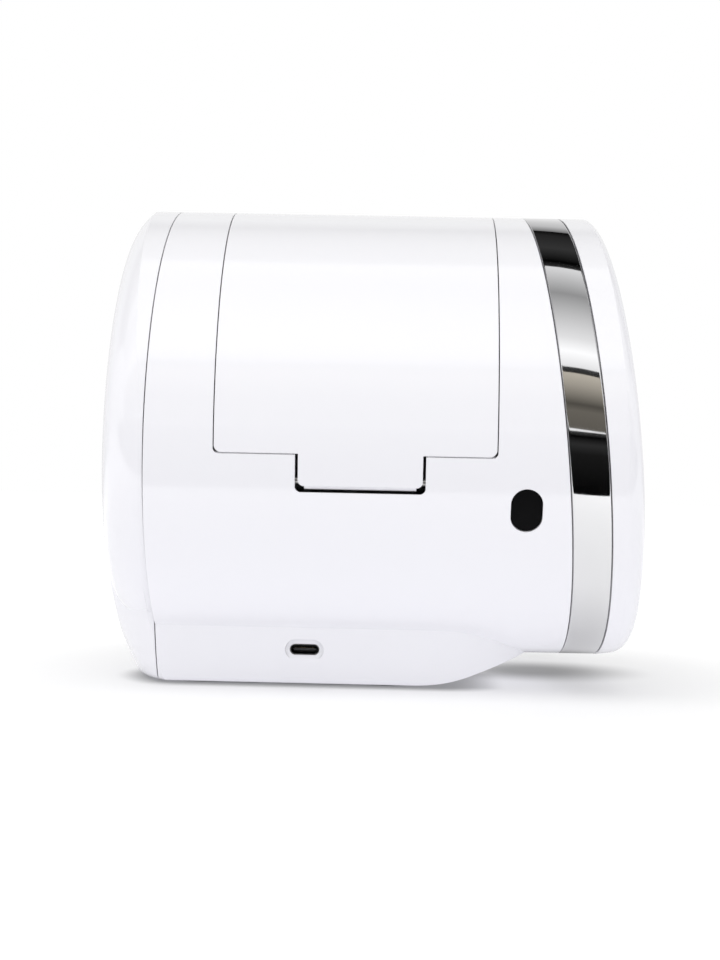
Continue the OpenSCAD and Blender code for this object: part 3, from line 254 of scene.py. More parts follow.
# %% Ground rubber
rubber = Finish("ground_rubber", (0.028, 0.028, 0.030), 0.72)
rubber.set("Sheen Weight", 0.25)
rubber.set("Sheen Roughness", 0.5)
rings = rubber.noise(1400.0, 2.0, rubber.stretched((1.0, 0.08, 0.08)))
rubber.vary_colour(rubber.noise(60.0, 4.0), 0.35)
rubber.vary_roughness(rings, 0.08)
rubber.bump(rings, 0.02)
rubber.bump(rubber.noise(5200.0, 2.0), 0.01)
finishes["rubber_black"] = rubber.material
print("made", rubber.material.name)

# %% [markdown]
# The side plates are zinc-plated sheet, rolled before plating, so faint lines run along
# one direction and the plating clouds a little. Springs are brighter drawn wire, the heat
# sink is extruded aluminium with lines along its length, and the spacers are turned brass.

# %% Metals
def rolled_metal(name, colour, roughness, stretch, cloud=0.1, line_depth=0.004):
    made = Finish(name, colour, roughness, metallic=1.0)
    made.soft_edges(0.15)
    lines = made.noise(420.0, 3.0, made.stretched(stretch))
    made.vary_colour(made.noise(45.0, 5.0), cloud)
    made.vary_roughness(lines, 0.08)
    made.bump(lines, line_depth)
    return made.material


finishes["plated_steel"] = rolled_metal(
    "zinc_plated_steel", (0.62, 0.62, 0.60), 0.33, (6.0, 6.0, 0.3), 0.16)
finishes["spring_steel"] = rolled_metal(
    "drawn_wire", (0.66, 0.66, 0.67), 0.22, (1.0, 1.0, 1.0), 0.06)
finishes["aluminium_sink"] = rolled_metal(
    "extruded_aluminium", (0.80, 0.81, 0.83), 0.36, (0.3, 6.0, 6.0), 0.05)
finishes["brass_parts"] = rolled_metal(
    "turned_brass", (0.76, 0.57, 0.27), 0.25, (9.0, 0.5, 0.5), 0.08)
print("made the metals:", len(finishes), "finishes in all")

# %% [markdown]
# The print head is a strip of glazed ceramic with a raised bead, and the row of heating
# dots lies along that bead as a thin dark line. The line is drawn with a mask across the
# head: one coordinate, cut sharply at the bead.

# %% Glazed ceramic of the print head
ceramic = Finish("glazed_ceramic", (0.80, 0.76, 0.66), 0.16)
ceramic.set("Coat Weight", 0.4)
ceramic.set("Coat Roughness", 0.08)
ceramic.soft_edges(0.1)
ceramic.vary_colour(ceramic.noise(120.0, 4.0), 0.10)
ceramic.bump(ceramic.noise(900.0, 3.0), 0.004)
HEAD_SLOPE = math.radians(20.18)
BEAD = (0.0, 0.053425, 0.101610)
HEATER_HALF = 0.00012
up_the_head = (0.0, math.cos(HEAD_SLOPE), math.sin(HEAD_SLOPE))
off_line = ceramic.math("ABSOLUTE", ceramic.along(up_the_head, BEAD))
ceramic.paint(ceramic.step(off_line, 1.3 * HEATER_HALF, HEATER_HALF), (0.05, 0.042, 0.038, 1.0))
finishes["ceramic_head"] = ceramic.material
print("made", ceramic.material.name)

# %% [markdown]
# Circuit boards are green solder resist over copper. The copper under the lacquer shows
# as slightly lighter, slightly raised tracks, for which the edges of Voronoi cells are a
# fair stand-in. What stands on the main board is painted by its place: chips are black,
# the plugs along the lower edge are ivory and the capacitors end in bare aluminium. The
# battery is wrapped in blue shrink film, which wrinkles finely.

# %% Boards, battery film and light pipe
LACQUER, COPPER = (0.012, 0.12, 0.055), (0.05, 0.27, 0.11)
CHIP_BLACK, PLUG_IVORY = (0.012, 0.012, 0.014, 1.0), (0.75, 0.71, 0.60, 1.0)
BARE_ALUMINIUM = (0.62, 0.63, 0.65, 1.0)
BOARD_FACE, PART_REACH = 0.04175, 0.008
CAN_TOP, PLUG_TOP = 0.0473, 0.0474
CUT = 0.00004
board = Finish("solder_resist", LACQUER, 0.32)
cells = {"Vector": board.place, "Scale": 330.0, "Randomness": 0.65}
tracks = board.node("ShaderNodeTexVoronoi", cells, feature="DISTANCE_TO_EDGE").outputs["Distance"]
copper = board.step(tracks, 0.09, 0.06)
board.drive("Base Color", board.mix(copper, (*LACQUER, 1.0), (*COPPER, 1.0)))
board.bump(copper, 0.03)
from_face = board.along((1.0, 0.0, 0.0), (BOARD_FACE, 0.0, 0.0))
within_reach = board.step(from_face, PART_REACH + 0.0005, PART_REACH)
is_part = board.math("MULTIPLY", board.step(from_face, 0.0, CUT), within_reach)
is_plug = board.step(board.along((0.0, 0.0, 1.0), (0.0, 0.0, PLUG_TOP)), 0.0002, 0.0)
is_can_top = board.step(board.along((1.0, 0.0, 0.0), (CAN_TOP, 0.0, 0.0)), 0.0, CUT)
board.paint(is_part, CHIP_BLACK)
board.paint(board.math("MULTIPLY", is_part, is_plug), PLUG_IVORY)
board.paint(board.math("MULTIPLY", is_part, is_can_top), BARE_ALUMINIUM)
finishes["board_green"] = board.material

film = Finish("shrink_film", (0.035, 0.13, 0.34), 0.28)
film.set("Coat Weight", 0.3)
film.vary_colour(film.noise(30.0, 2.0), 0.15)
film.bump(film.noise(160.0, 3.0, film.stretched((3.0, 0.6, 0.6))), 0.12)
finishes["battery_wrap"] = film.material

pipe = Finish("frosted_light_pipe", (0.78, 0.88, 0.92), 0.35)
pipe.set("Subsurface Weight", 0.2)
pipe.set("Subsurface Radius", (0.002, 0.002, 0.002))
pipe.vary_colour(pipe.noise(400.0, 2.0), 0.05)
pipe.bump(pipe.noise(2600.0, 2.0), 0.004)
finishes["light_pipe"] = pipe.material
print("finishes:", ", ".join(sorted(finishes)))

# %% [markdown]
# Each node of the mechanical model already has a slot that names its finish, so giving
# every piece its material is one lookup. The meshes themselves stay as they are.

# %% Give every piece its finish
slot_of = {part["node"]: part["material_slot"] for part in frame["record"]["subparts"]}
for name, piece in nodes.items():
    piece.data.materials.clear()
    piece.data.materials.append(finishes[slot_of[name]])
nodes["power_button"].data.materials[0] = soft_touch.material
print("finished", len(nodes), "pieces")

# %% [markdown]
# Product pictures are taken on a pale sweep, often a glowing one: a sheet of opal acrylic
# lit from below. What the sheet sheds on the printer and what the lens sees of it are
# set apart here. The shell gets an even, slightly cool fill from it. The camera and the
# chrome see white paper that takes the soft shadow and, on top of it, painted shadow: it
# is painted darker in the narrow gap under the foot and in a soft patch under the right
# overhang, and it glows more farther out, where it has to melt into the white room.

# %% The floor
WHITE = (1.0, 1.0, 1.0, 1.0)
FILL_TINT, FILL_GLOW, FILL_GREY = (0.975, 0.975, 1.04, 1.0), 0.68, (0.40, 0.40, 0.40, 1.0)
PAPER_WHITE = 0.75
NEAR_GLOW, FAR_GLOW = 0.19, 0.60
NEAR_REACH, FAR_REACH = 0.07, 0.36
# Painted shadow: a soft dark patch on the floor under the right overhang, given by its centre, its
# reach and its darkest level.
PAINTED_SHADOW_PLACE, PAINTED_SHADOW_REACH, PAINTED_SHADOW_LEFT = (0.056, 0.036, 0.0), (0.044, 0.040, 1.0), 0.45
# Painted shade: an occlusion mask darkens the paper in narrow gaps, such as under the foot.
GAP_REACH, GAP_LEFT = 0.008, 0.4
FLOOR_HALF = 6.0


def floor_material():
    made = empty_material("opal_sweep")
    tree = made.node_tree

    def times(first, second):
        return add_node(tree, "ShaderNodeMath", {0: first, 1: second}, operation="MULTIPLY").outputs[0]

    def vector(operation, *operands):
        return add_node(tree, "ShaderNodeVectorMath", dict(enumerate(operands)), operation=operation)

    def ramp(source, start, end, low, high):
        inputs = {"Value": source, "From Min": start, "From Max": end, "To Min": low, "To Max": high}
        smooth = add_node(tree, "ShaderNodeMapRange", inputs, interpolation_type="SMOOTHSTEP")
        return smooth.outputs["Result"]

    def sheet(colour, glow_colour, glow_strength):
        """A diffuse sheet that also glows."""
        paper = add_node(tree, "ShaderNodeBsdfDiffuse", {"Color": colour}).outputs[0]
        inputs = {"Color": glow_colour, "Strength": glow_strength}
        glow = add_node(tree, "ShaderNodeEmission", inputs).outputs[0]
        return add_node(tree, "ShaderNodeAddShader", {0: paper, 1: glow}).outputs[0]

    place = add_node(tree, "ShaderNodeTexCoord").outputs["Object"]
    distance = vector("LENGTH", place).outputs["Value"]
    glow_level = ramp(distance, NEAR_REACH, FAR_REACH, NEAR_GLOW, FAR_GLOW)
    # Painted shadow: the soft patch darkens the paper and its glow where the shadow under the overhang
    # should fall.
    offset = vector("SUBTRACT", place, PAINTED_SHADOW_PLACE).outputs[0]
    from_painted_shadow = vector("LENGTH", vector("DIVIDE", offset, PAINTED_SHADOW_REACH).outputs[0]).outputs["Value"]
    shade = ramp(from_painted_shadow, 0.15, 1.0, PAINTED_SHADOW_LEFT, 1.0)
    # Painted shade in narrow gaps, from an occlusion mask, multiplied with the painted shadow patch
    # into the paper and its glow.
    gap = add_node(tree, "ShaderNodeAmbientOcclusion", {"Distance": GAP_REACH}, samples=8).outputs["AO"]
    painted_shade = times(shade, ramp(gap, 0.0, 1.0, GAP_LEFT, 1.0))

    fill = sheet(FILL_GREY, FILL_TINT, FILL_GLOW)
    seen = sheet(times(painted_shade, PAPER_WHITE), WHITE, times(painted_shade, glow_level))
    ray = add_node(tree, "ShaderNodeLightPath")
    inputs = {0: ray.outputs["Is Camera Ray"], 1: ray.outputs["Is Glossy Ray"]}
    straight = add_node(tree, "ShaderNodeMath", inputs, operation="MAXIMUM").outputs[0]
    choose = add_node(tree, "ShaderNodeMixShader", {0: straight, 1: fill, 2: seen})
    add_node(tree, "ShaderNodeOutputMaterial", {"Surface": choose.outputs[0]})
    return made


floor_mesh = bpy.data.meshes.new("floor")
corners = [(-1, -1), (1, -1), (1, 1), (-1, 1)]
floor_mesh.from_pydata([(x * FLOOR_HALF, y * FLOOR_HALF, 0.0) for x, y in corners], [], [(0, 1, 2, 3)])
floor = bpy.data.objects.new("floor", floor_mesh)
floor.data.materials.append(floor_material())
bpy.context.scene.collection.objects.link(floor)
print("floor", 2 * FLOOR_HALF, "m across")

# %% [markdown]
# The world is a white room. Camera rays and mirror rays see it at full white, and the
# light that it sheds is set apart, so the white shell can be lit without clipping.

# %% The room
ROOM_LIGHT = 0.81


def room_nodes(tree):
    path = add_node(tree, "ShaderNodeLightPath").outputs

    def either(first, second):
        return add_node(tree, "ShaderNodeMath", {0: first, 1: second}, operation="MAXIMUM").outputs[0]

    clear = either(either(path["Is Camera Ray"], path["Is Glossy Ray"]), path["Is Transmission Ray"])
    inputs = {"To Min": ROOM_LIGHT, "To Max": 1.0, "Value": clear}
    level = add_node(tree, "ShaderNodeMapRange", inputs).outputs["Result"]
    room = add_node(tree, "ShaderNodeBackground", {"Color": WHITE, "Strength": level}).outputs[0]
    add_node(tree, "ShaderNodeOutputWorld", {"Surface": room})


world = bpy.data.worlds.new("white_room")
bpy.context.scene.world = world
world.use_nodes = True
world.node_tree.nodes.clear()
room_nodes(world.node_tree)
print("room light", ROOM_LIGHT)

# %% [markdown]
# Two soft lamps give the form its gentle gradient: a wide one above the hinge side and a
# weaker one from the left. They are invisible to mirrors, because the cards below are
# what the chrome should show.

# %% The lamps
def soft_lamp(name, place, aim, size, power):
    data = bpy.data.lights.new(name, "AREA")
    data.shape = "RECTANGLE"
    data.size, data.size_y = size
    data.energy = power
    lamp = bpy.data.objects.new(name, data)
    lamp.location = place
    lamp.rotation_mode = "QUATERNION"
    lamp.rotation_quaternion = (Vector(aim) - Vector(place)).to_track_quat("-Z", "Y")
    lamp.visible_glossy = False
    bpy.context.scene.collection.objects.link(lamp)
    print("lamp", name, power, "W")


soft_lamp("overhead_softbox", (-0.15, -0.55, 1.1), drum_axis, (0.9, 0.7), 4.9)
soft_lamp("left_fill", (-1.0, -0.6, 0.5), drum_axis, (0.6, 0.6), 0.25)

# %% [markdown]
# Chrome is only as good as what it mirrors. Photographers hang black and grey cards round
# a shiny piece, and each card shows as a band on it. A round piece seen from the side
# mirrors the room at twice the angle of its own slope, so every band on the ring names
# the angle of one card. The cards are curved sheets about the drum axis that only mirror
# rays can see. Each is a list of stops, an angle and a tone, and the tone runs smoothly
# from stop to stop. The low card hangs close, or the floor would hide its lower part. The
# far wall is what the shell mirrors where it turns away from the lens, and its pale grey
# gives the white body an edge against the white room.

# %% Cards for the reflections
CARD_HALF_LENGTH = 1.1


def card(name, radius, stops, tint=(1.0, 1.0, 1.0)):
    """A curved card through stops of (degrees, tone), 0 being level on the hinge side."""
    steps = 6
    points, levels = [], []
    for (angle, tone), (next_angle, next_tone) in zip(stops, stops[1:]):
        for i in range(steps + 1):
            share = i / steps
            turn = math.radians(angle + (next_angle - angle) * share)
            y, z = -math.cos(turn) * radius, math.sin(turn) * radius
            for side in (-1, 1):
                points.append((side * CARD_HALF_LENGTH, y, AXIS_HEIGHT + z))
                levels.append(tone + (next_tone - tone) * share)
    mesh = bpy.data.meshes.new(name)
    rows = len(points) // 2
    faces = [(2 * i, 2 * i + 1, 2 * i + 3, 2 * i + 2) for i in range(rows - 1)]
    mesh.from_pydata(points, [], [f for i, f in enumerate(faces) if (i + 1) % (steps + 1)])
    tone = mesh.color_attributes.new("tone", "FLOAT_COLOR", "POINT")
    for item, value in zip(tone.data, levels):
        item.color = (*(value * t for t in tint), 1.0)
    made = empty_material(name)
    read = add_node(made.node_tree, "ShaderNodeVertexColor", layer_name="tone").outputs["Color"]
    glow = add_node(made.node_tree, "ShaderNodeEmission", {"Color": read}).outputs[0]
    add_node(made.node_tree, "ShaderNodeOutputMaterial", {"Surface": glow})
    mesh.materials.append(made)
    sheet = bpy.data.objects.new(name, mesh)
    for ray in ("camera", "diffuse", "transmission", "volume_scatter", "shadow"):
        setattr(sheet, "visible_" + ray, False)
    bpy.context.scene.collection.objects.link(sheet)


CARD_RADIUS, NEAR_CARD_RADIUS = 0.42, 0.135
card("low_black_card", NEAR_CARD_RADIUS,
     [(-23.0, 0.0), (-8.0, 0.01), (-4.5, 0.03), (-1.5, 0.0), (0.2, 0.06)])
card("warm_wall", CARD_RADIUS,
     [(1.6, 0.13), (10.0, 0.16), (13.0, 0.09), (22.0, 0.42), (27.5, 0.58)], (1.0, 0.92, 0.78))
card("dark_edge_card", CARD_RADIUS, [(27.5, 0.02), (30.2, 0.05)])
card("bright_sweep", CARD_RADIUS,
     [(30.2, 0.95), (38.0, 1.25), (45.0, 0.93), (70.0, 0.35), (87.6, 0.85)])
card("high_black_card", CARD_RADIUS,
     [(87.8, 0.03), (92.0, 0.0), (104.0, 0.04), (118.0, 0.02), (123.5, 0.0)])
card("high_grey_card", CARD_RADIUS, [(123.5, 0.2), (132.0, 0.6), (150.0, 0.84)])
card("far_wall", CARD_RADIUS, [(150.0, 0.84), (189.0, 0.82)])
print("seven cards about the drum axis")

# %% [markdown]
# The camera stands a little lower than the drum's axis, just over half a metre away, and
# looks at the hinge side. Its lens is a short telephoto, which keeps the ends of the drum
# from bulging. The angles are small: the tripod head is almost square to the printer.

# %% The camera
CAMERA_PLACE = (0.00615, -0.5657, 0.0637)
YAW, PITCH, ROLL = math.radians(-1.10), math.radians(0.09), math.radians(1.20)


def camera_axes(yaw, pitch, roll):
    level = math.cos(pitch)
    ahead = Vector((math.sin(yaw) * level, math.cos(yaw) * level, math.sin(pitch)))
    right = Vector((math.cos(yaw), -math.sin(yaw), 0.0))
    up = right.cross(ahead)
    tilted_right = right * math.cos(roll) + up * math.sin(roll)
    tilted_up = up * math.cos(roll) - right * math.sin(roll)
    return tilted_right, tilted_up, ahead


right, up, ahead = camera_axes(YAW, PITCH, ROLL)
lens = bpy.data.cameras.new("short_telephoto")
lens.sensor_width = 36.0
lens.lens = 65.08
lens.clip_start = 0.05
lens.clip_end = 50.0
camera = bpy.data.objects.new("camera", lens)
turn = Matrix((right, up, -ahead)).transposed()
camera.matrix_world = Matrix.Translation(CAMERA_PLACE) @ turn.to_4x4()
bpy.context.scene.collection.objects.link(camera)
bpy.context.scene.camera = camera
bpy.context.scene.view_settings.view_transform = "Standard"
print("camera at", tuple(round(c, 4) for c in camera.location))

# %% [markdown]
# Some pieces are easier to describe by a rule than to draw: a coil spring is a wire swept
# along a helix, and the trim ring is one small profile swept round the drum and then made
# to lean. Geometry Nodes are made for such rules. The helper below builds a tree with
# named inputs, runs it once, and keeps the result as a plain mesh.

# %% A helper that grows pieces from rules
SHARP_EDGE = math.radians(35.0)


class Rule:
    """A Geometry Nodes tree with named inputs. It ends in Realize Instances and Set Material."""

    def __init__(self, name):
        self.tree = bpy.data.node_groups.new(name, "GeometryNodeTree")
        self.tree.interface.new_socket("Geometry", in_out="OUTPUT", socket_type="NodeSocketGeometry")
        self.inlet = self.tree.nodes.new("NodeGroupInput")
        self.outlet = self.tree.nodes.new("NodeGroupOutput")

    def ask(self, name, kind, default):
        """Adds a named input and returns its socket inside the tree."""
        made = self.tree.interface.new_socket(name, in_out="INPUT", socket_type="NodeSocket" + kind)
        if default is not None:
            made.default_value = default
        return self.inlet.outputs[name]

    def node(self, kind, inputs=None, **settings):
        return add_node(self.tree, kind, inputs, **settings)

    def math(self, operation, first, second=0.0):
        return self.node("ShaderNodeMath", {0: first, 1: second}, operation=operation).outputs[0]

    def join(self, *parts):
        made = self.node("GeometryNodeJoinGeometry")
        for part in parts:
            self.tree.links.new(part, made.inputs[0])
        return made.outputs[0]

    def finish_with(self, geometry, material):
        real = self.node("GeometryNodeRealizeInstances", {"Geometry": geometry}).outputs[0]
        smooth = self.node("GeometryNodeSetShadeSmooth", {"Geometry": real}).outputs[0]
        made = self.node("GeometryNodeSetMaterial", {"Geometry": smooth, "Material": material})
        self.tree.links.new(made.outputs[0], self.outlet.inputs[0])


def grow(rule, name, body, stands_for, seeds=(), **values):
    """Runs a rule and returns its result as a plain piece that rides on a body.
    Seeds are (place, arrow) pairs, for rules that set a shape on points."""
    points = bpy.data.meshes.new(name + "_seed")
    points.from_pydata([place for place, arrow in seeds], [], [])
    arrows = points.attributes.new("arrow", "FLOAT_VECTOR", "POINT")
    for item, (place, arrow) in zip(arrows.data, seeds):
        item.vector = arrow
    seed = bpy.data.objects.new(name + "_seed", points)
    bpy.context.scene.collection.objects.link(seed)
    modifier = seed.modifiers.new("rule", "NODES")
    modifier.node_group = rule.tree
    for item in rule.tree.interface.items_tree:
        key = item.name.replace(" ", "_").lower()
        if item.in_out == "INPUT" and key in values:
            modifier[item.identifier] = values.pop(key)
    assert not values, f"{name}: the rule has no input called {sorted(values)}"
    evaluated = seed.evaluated_get(bpy.context.evaluated_depsgraph_get())
    mesh = bpy.data.meshes.new_from_object(evaluated)
    bpy.data.objects.remove(seed)
    mesh.name = name
    mesh.set_sharp_from_angle(angle=SHARP_EDGE)
    piece = bpy.data.objects.new(name, mesh)
    bpy.context.scene.collection.objects.link(piece)
    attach(piece, body)
    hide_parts(stands_for)
    print(f"{name}: {len(mesh.polygons)} faces, stands for {stands_for}")
    return piece


print("the rule helper is ready")

# %% [markdown]
# The springs under the print head are open-wound steel coils. A spiral curve gives the
# centre line, and a small circle swept along it gives round wire, which is smoother than
# the mechanical model's coil. Two points place the pair, and the same rule with finer
# wire and more turns gives the spring round the hinge pin.

# %% Coil springs from a helix
def coil_rule():
    rule = Rule("coil_spring")
    radius = rule.ask("Coil Radius", "Float", 0.002)
    wire = rule.ask("Wire Radius", "Float", 0.0005)
    height = rule.ask("Height", "Float", 0.01)
    turns = rule.ask("Turns", "Float", 6.0)
    spread = rule.ask("Spread", "Float", 0.0)
    count = rule.ask("Count", "Int", 1)
    place = rule.ask("Place", "Vector", (0.0, 0.0, 0.0))
    lean = rule.ask("Lean", "Vector", (0.0, 0.0, 0.0))
    rise = rule.math("SUBTRACT", height, rule.math("MULTIPLY", wire, 2.0))
    line = rule.node("GeometryNodeCurveSpiral", {
        "Resolution": 40, "Rotations": turns, "Height": rise,
        "Start Radius": radius, "End Radius": radius})
    round_wire = rule.node("GeometryNodeCurvePrimitiveCircle", {"Resolution": 10, "Radius": wire})
    swept = rule.node("GeometryNodeCurveToMesh", {
        "Curve": line.outputs[0], "Profile Curve": round_wire.outputs[0], "Fill Caps": True})
    lift = rule.node("ShaderNodeCombineXYZ", {"Z": wire})
    seated = rule.node("GeometryNodeTransform", {
        "Geometry": swept.outputs[0], "Translation": lift.outputs[0]})
    half = rule.math("MULTIPLY", spread, 0.5)
    left = rule.node("ShaderNodeCombineXYZ", {"X": rule.math("MULTIPLY", half, -1.0)})
    end = rule.node("ShaderNodeCombineXYZ", {"X": half})
    row = rule.node("GeometryNodeMeshLine", {
        "Count": count, "Start Location": left.outputs[0], "Offset": end.outputs[0]}, mode="END_POINTS")
    pair = rule.node("GeometryNodeInstanceOnPoints", {
        "Points": row.outputs[0], "Instance": seated.outputs[0]})
    set_down = rule.node("GeometryNodeTransform", {
        "Geometry": pair.outputs[0], "Translation": place, "Rotation": lean})
    rule.finish_with(set_down.outputs[0], finishes["spring_steel"])
    return rule


coils = coil_rule()
low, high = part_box("head_springs")
WIRE = 0.5 * MILLIMETRE
coil_radius = (high.y - low.y) / 2 - WIRE
grow(coils, "round_wire_head_springs", "housing", "head_springs", coil_radius=coil_radius,
     wire_radius=WIRE, height=high.z - low.z, turns=6.0, count=2,
     spread=high.x - low.x - 2 * (coil_radius + WIRE),
     place=((low.x + high.x) / 2, (low.y + high.y) / 2, low.z))

low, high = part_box("lid_spring")
FINE_WIRE = 0.25 * MILLIMETRE
grow(coils, "round_wire_lid_spring", "housing", "lid_spring",
     coil_radius=(high.y - low.y) / 2 - FINE_WIRE, wire_radius=FINE_WIRE, height=high.x - low.x,
     turns=9.0, count=1, place=(low.x, (low.y + high.y) / 2, (low.z + high.z) / 2),
     lean=(0.0, math.radians(90), 0.0))

# %% [markdown]
# The trim ring is a main piece that follows a rule. Its section is a flat bar with small
# rounded corners, and a thinner, wider bar inside it is the sleeve that seats the ring in
# the mouldings on both sides. Swept round the drum they would make upright hoops, so the
# last step shears them: each point moves along the drum by an amount that depends on its
# height and, a little, on how far forward it is. The rounded corners catch a thin line of
# light, which a sharp plated edge would lack.

# %% The leaning trim ring
SLEEVE_CLEARANCE = 0.1 * MILLIMETRE
SLEEVE_CORNER = 0.1 * MILLIMETRE


def ring_rule():
    rule = Rule("leaning_ring")
    radius = rule.ask("Drum Radius", "Float", DRUM_RADIUS)
    width = rule.ask("Width", "Float", 0.0117)
    wall = rule.ask("Wall", "Float", 0.003)
    corner = rule.ask("Corner Radius", "Float", 0.0005)
    start = rule.ask("Start", "Float", 0.052)
    lean = rule.ask("Lean", "Float", 0.1)
    turn = rule.ask("Turn", "Float", 0.04)
    height = rule.ask("Axis Height", "Float", AXIS_HEIGHT)
    sleeve_wall = rule.ask("Sleeve Wall", "Float", 0.0017)
    sleeve_reach = rule.ask("Sleeve Reach", "Float", 0.003)

    def hoop(bar_width, bar_wall, outer, rounding):
        middle = rule.math("SUBTRACT", outer, rule.math("MULTIPLY", bar_wall, 0.5))
        track = rule.node("GeometryNodeCurvePrimitiveCircle", {"Resolution": 240, "Radius": middle})
        section = rule.node("GeometryNodeCurvePrimitiveQuadrilateral", {
            "Width": bar_wall, "Height": bar_width})
        eased = rule.node("GeometryNodeFilletCurve", {
            "Curve": section.outputs[0], "Radius": rounding,
            "Count": 4, "Limit Radius": True}, mode="POLY")
        swept = rule.node("GeometryNodeCurveToMesh", {
            "Curve": track.outputs[0], "Profile Curve": eased.outputs[0]})
        return swept.outputs[0]

    band = hoop(width, wall, radius, corner)
    sleeve_outer = rule.math("SUBTRACT", radius, rule.math("ADD", wall, SLEEVE_CLEARANCE))
    sleeve_width = rule.math("ADD", width, rule.math("MULTIPLY", sleeve_reach, 2.0))
    sleeve = hoop(sleeve_width, sleeve_wall, sleeve_outer, SLEEVE_CORNER)
    stood = rule.node("GeometryNodeTransform", {
        "Geometry": rule.join(band, sleeve), "Rotation": (0.0, math.radians(90), 0.0)})
    position = rule.node("GeometryNodeInputPosition").outputs[0]
    where = rule.node("ShaderNodeSeparateXYZ", {"Vector": position})
    square = rule.math("MULTIPLY", rule.math("COSINE", lean), rule.math("COSINE", turn))
    from_edge = rule.math("ADD", where.outputs["X"], rule.math("MULTIPLY", width, 0.5))
    along = rule.math("DIVIDE", from_edge, square)
    per_height = rule.math("DIVIDE", rule.math("TANGENT", lean), rule.math("COSINE", turn))
    shear = rule.math("ADD", rule.math("MULTIPLY", where.outputs["Z"], per_height),
                      rule.math("MULTIPLY", where.outputs["Y"], rule.math("TANGENT", turn)))
    new_x = rule.math("ADD", start, rule.math("SUBTRACT", along, shear))
    new_z = rule.math("ADD", where.outputs["Z"], height)
    target = rule.node("ShaderNodeCombineXYZ", {"X": new_x, "Y": where.outputs["Y"], "Z": new_z})
    leaned = rule.node("GeometryNodeSetPosition", {
        "Geometry": stood.outputs[0], "Position": target.outputs[0]})
    rule.finish_with(leaned.outputs[0], finishes["chrome_trim"])
    return rule


FACE_LEAN = math.radians(6.1)
FACE_TURN = math.radians(2.6)
RING_START = 52.2 * MILLIMETRE
RING_WIDTH = 11.5 * MILLIMETRE
SEAM = 0.3 * MILLIMETRE
ring = grow(ring_rule(), "plated_trim_ring", "housing", "trim_ring", width=RING_WIDTH - SEAM,
            start=RING_START + SEAM / 2 / (math.cos(FACE_LEAN) * math.cos(FACE_TURN)),
            lean=FACE_LEAN, turn=FACE_TURN)
low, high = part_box("trim_ring")
print("ring box", [round(v, 4) for v in (*low, *high)])
print("grown   ", [round(min(v.co[i] for v in ring.data.vertices), 4) for i in range(3)],
      [round(max(v.co[i] for v in ring.data.vertices), 4) for i in range(3)])

# %% [markdown]
# Every screw in the printer has the same shape: a low domed head with a cross recess, a
# thin shank and a rolled thread. One rule makes it, and it is set on a handful of seed
# points. Each point carries an arrow that says which way its head faces, so the same rule
# serves the main board, the lid liner, the rack tray and the base plate.

# %% Cross-recess screws
def screw_rule():
    rule = Rule("cross_recess_screw")
    seeds = rule.ask("Seeds", "Geometry", None)
    head_radius = rule.ask("Head Radius", "Float", 0.0024)
    head_height = rule.ask("Head Height", "Float", 0.0014)
    shank_radius = rule.ask("Shank Radius", "Float", 0.001)
    length = rule.ask("Length", "Float", 0.006)
    pitch = rule.ask("Thread Pitch", "Float", 0.0007)

    def shifted(part, z):
        offset = rule.node("ShaderNodeCombineXYZ", {"Z": z}).outputs[0]
        return rule.node("GeometryNodeTransform", {"Geometry": part, "Translation": offset}).outputs[0]

    blank = rule.node("GeometryNodeMeshCylinder", {
        "Vertices": 40, "Radius": head_radius, "Depth": head_height})
    blank = shifted(blank.outputs["Mesh"], rule.math("MULTIPLY", head_height, 0.5))
    ball_radius = rule.math("MULTIPLY", head_radius, 1.9)
    ball = rule.node("GeometryNodeMeshUVSphere", {"Segments": 40, "Rings": 40, "Radius": ball_radius})
    ball = shifted(ball.outputs["Mesh"], rule.math("SUBTRACT", head_height, ball_radius))
    dome = rule.node("GeometryNodeMeshBoolean", {"Mesh 2": blank}, operation="INTERSECT")
    rule.tree.links.new(ball, dome.inputs["Mesh 2"])
    span = rule.math("MULTIPLY", head_radius, 1.15)
    slot_width = rule.math("MULTIPLY", head_radius, 0.24)
    bars = []
    for size in ((span, slot_width), (slot_width, span)):
        extent = rule.node("ShaderNodeCombineXYZ", {"X": size[0], "Y": size[1], "Z": head_height})
        bar = rule.node("GeometryNodeMeshCube", {"Size": extent.outputs[0]}).outputs["Mesh"]
        bars.append(shifted(bar, rule.math("MULTIPLY", head_height, 0.95)))
    cut = rule.node("GeometryNodeMeshBoolean", {
        "Mesh 1": dome.outputs[0], "Mesh 2": bars[0]}, operation="DIFFERENCE")
    rule.tree.links.new(bars[1], cut.inputs["Mesh 2"])
    core = rule.math("MULTIPLY", shank_radius, 0.82)
    shank = rule.node("GeometryNodeMeshCylinder", {"Vertices": 24, "Radius": core, "Depth": length})
    shank = shifted(shank.outputs["Mesh"], rule.math("MULTIPLY", length, -0.5))
    crest = rule.math("MULTIPLY", shank_radius, 0.16)
    ridge = rule.node("GeometryNodeCurvePrimitiveCircle", {"Resolution": 3, "Radius": crest})
    threaded = rule.math("MULTIPLY", length, 0.8)
    helix = rule.node("GeometryNodeCurveSpiral", {
        "Resolution": 20, "Rotations": rule.math("DIVIDE", threaded, pitch),
        "Start Radius": core, "End Radius": core, "Height": threaded})
    thread = rule.node("GeometryNodeCurveToMesh", {
        "Curve": helix.outputs[0], "Profile Curve": ridge.outputs[0]})
    thread = shifted(thread.outputs[0], rule.math("MULTIPLY", length, -0.9))
    arrow = rule.node("GeometryNodeInputNamedAttribute", {"Name": "arrow"}, data_type="FLOAT_VECTOR")
    facing = rule.node("FunctionNodeAlignEulerToVector", {"Vector": arrow.outputs[0]}, axis="Z")
    placed = rule.node("GeometryNodeInstanceOnPoints", {
        "Points": seeds, "Instance": rule.join(cut.outputs[0], shank, thread),
        "Rotation": facing.outputs[0]})
    rule.finish_with(placed.outputs[0], finishes["plated_steel"])
    return rule


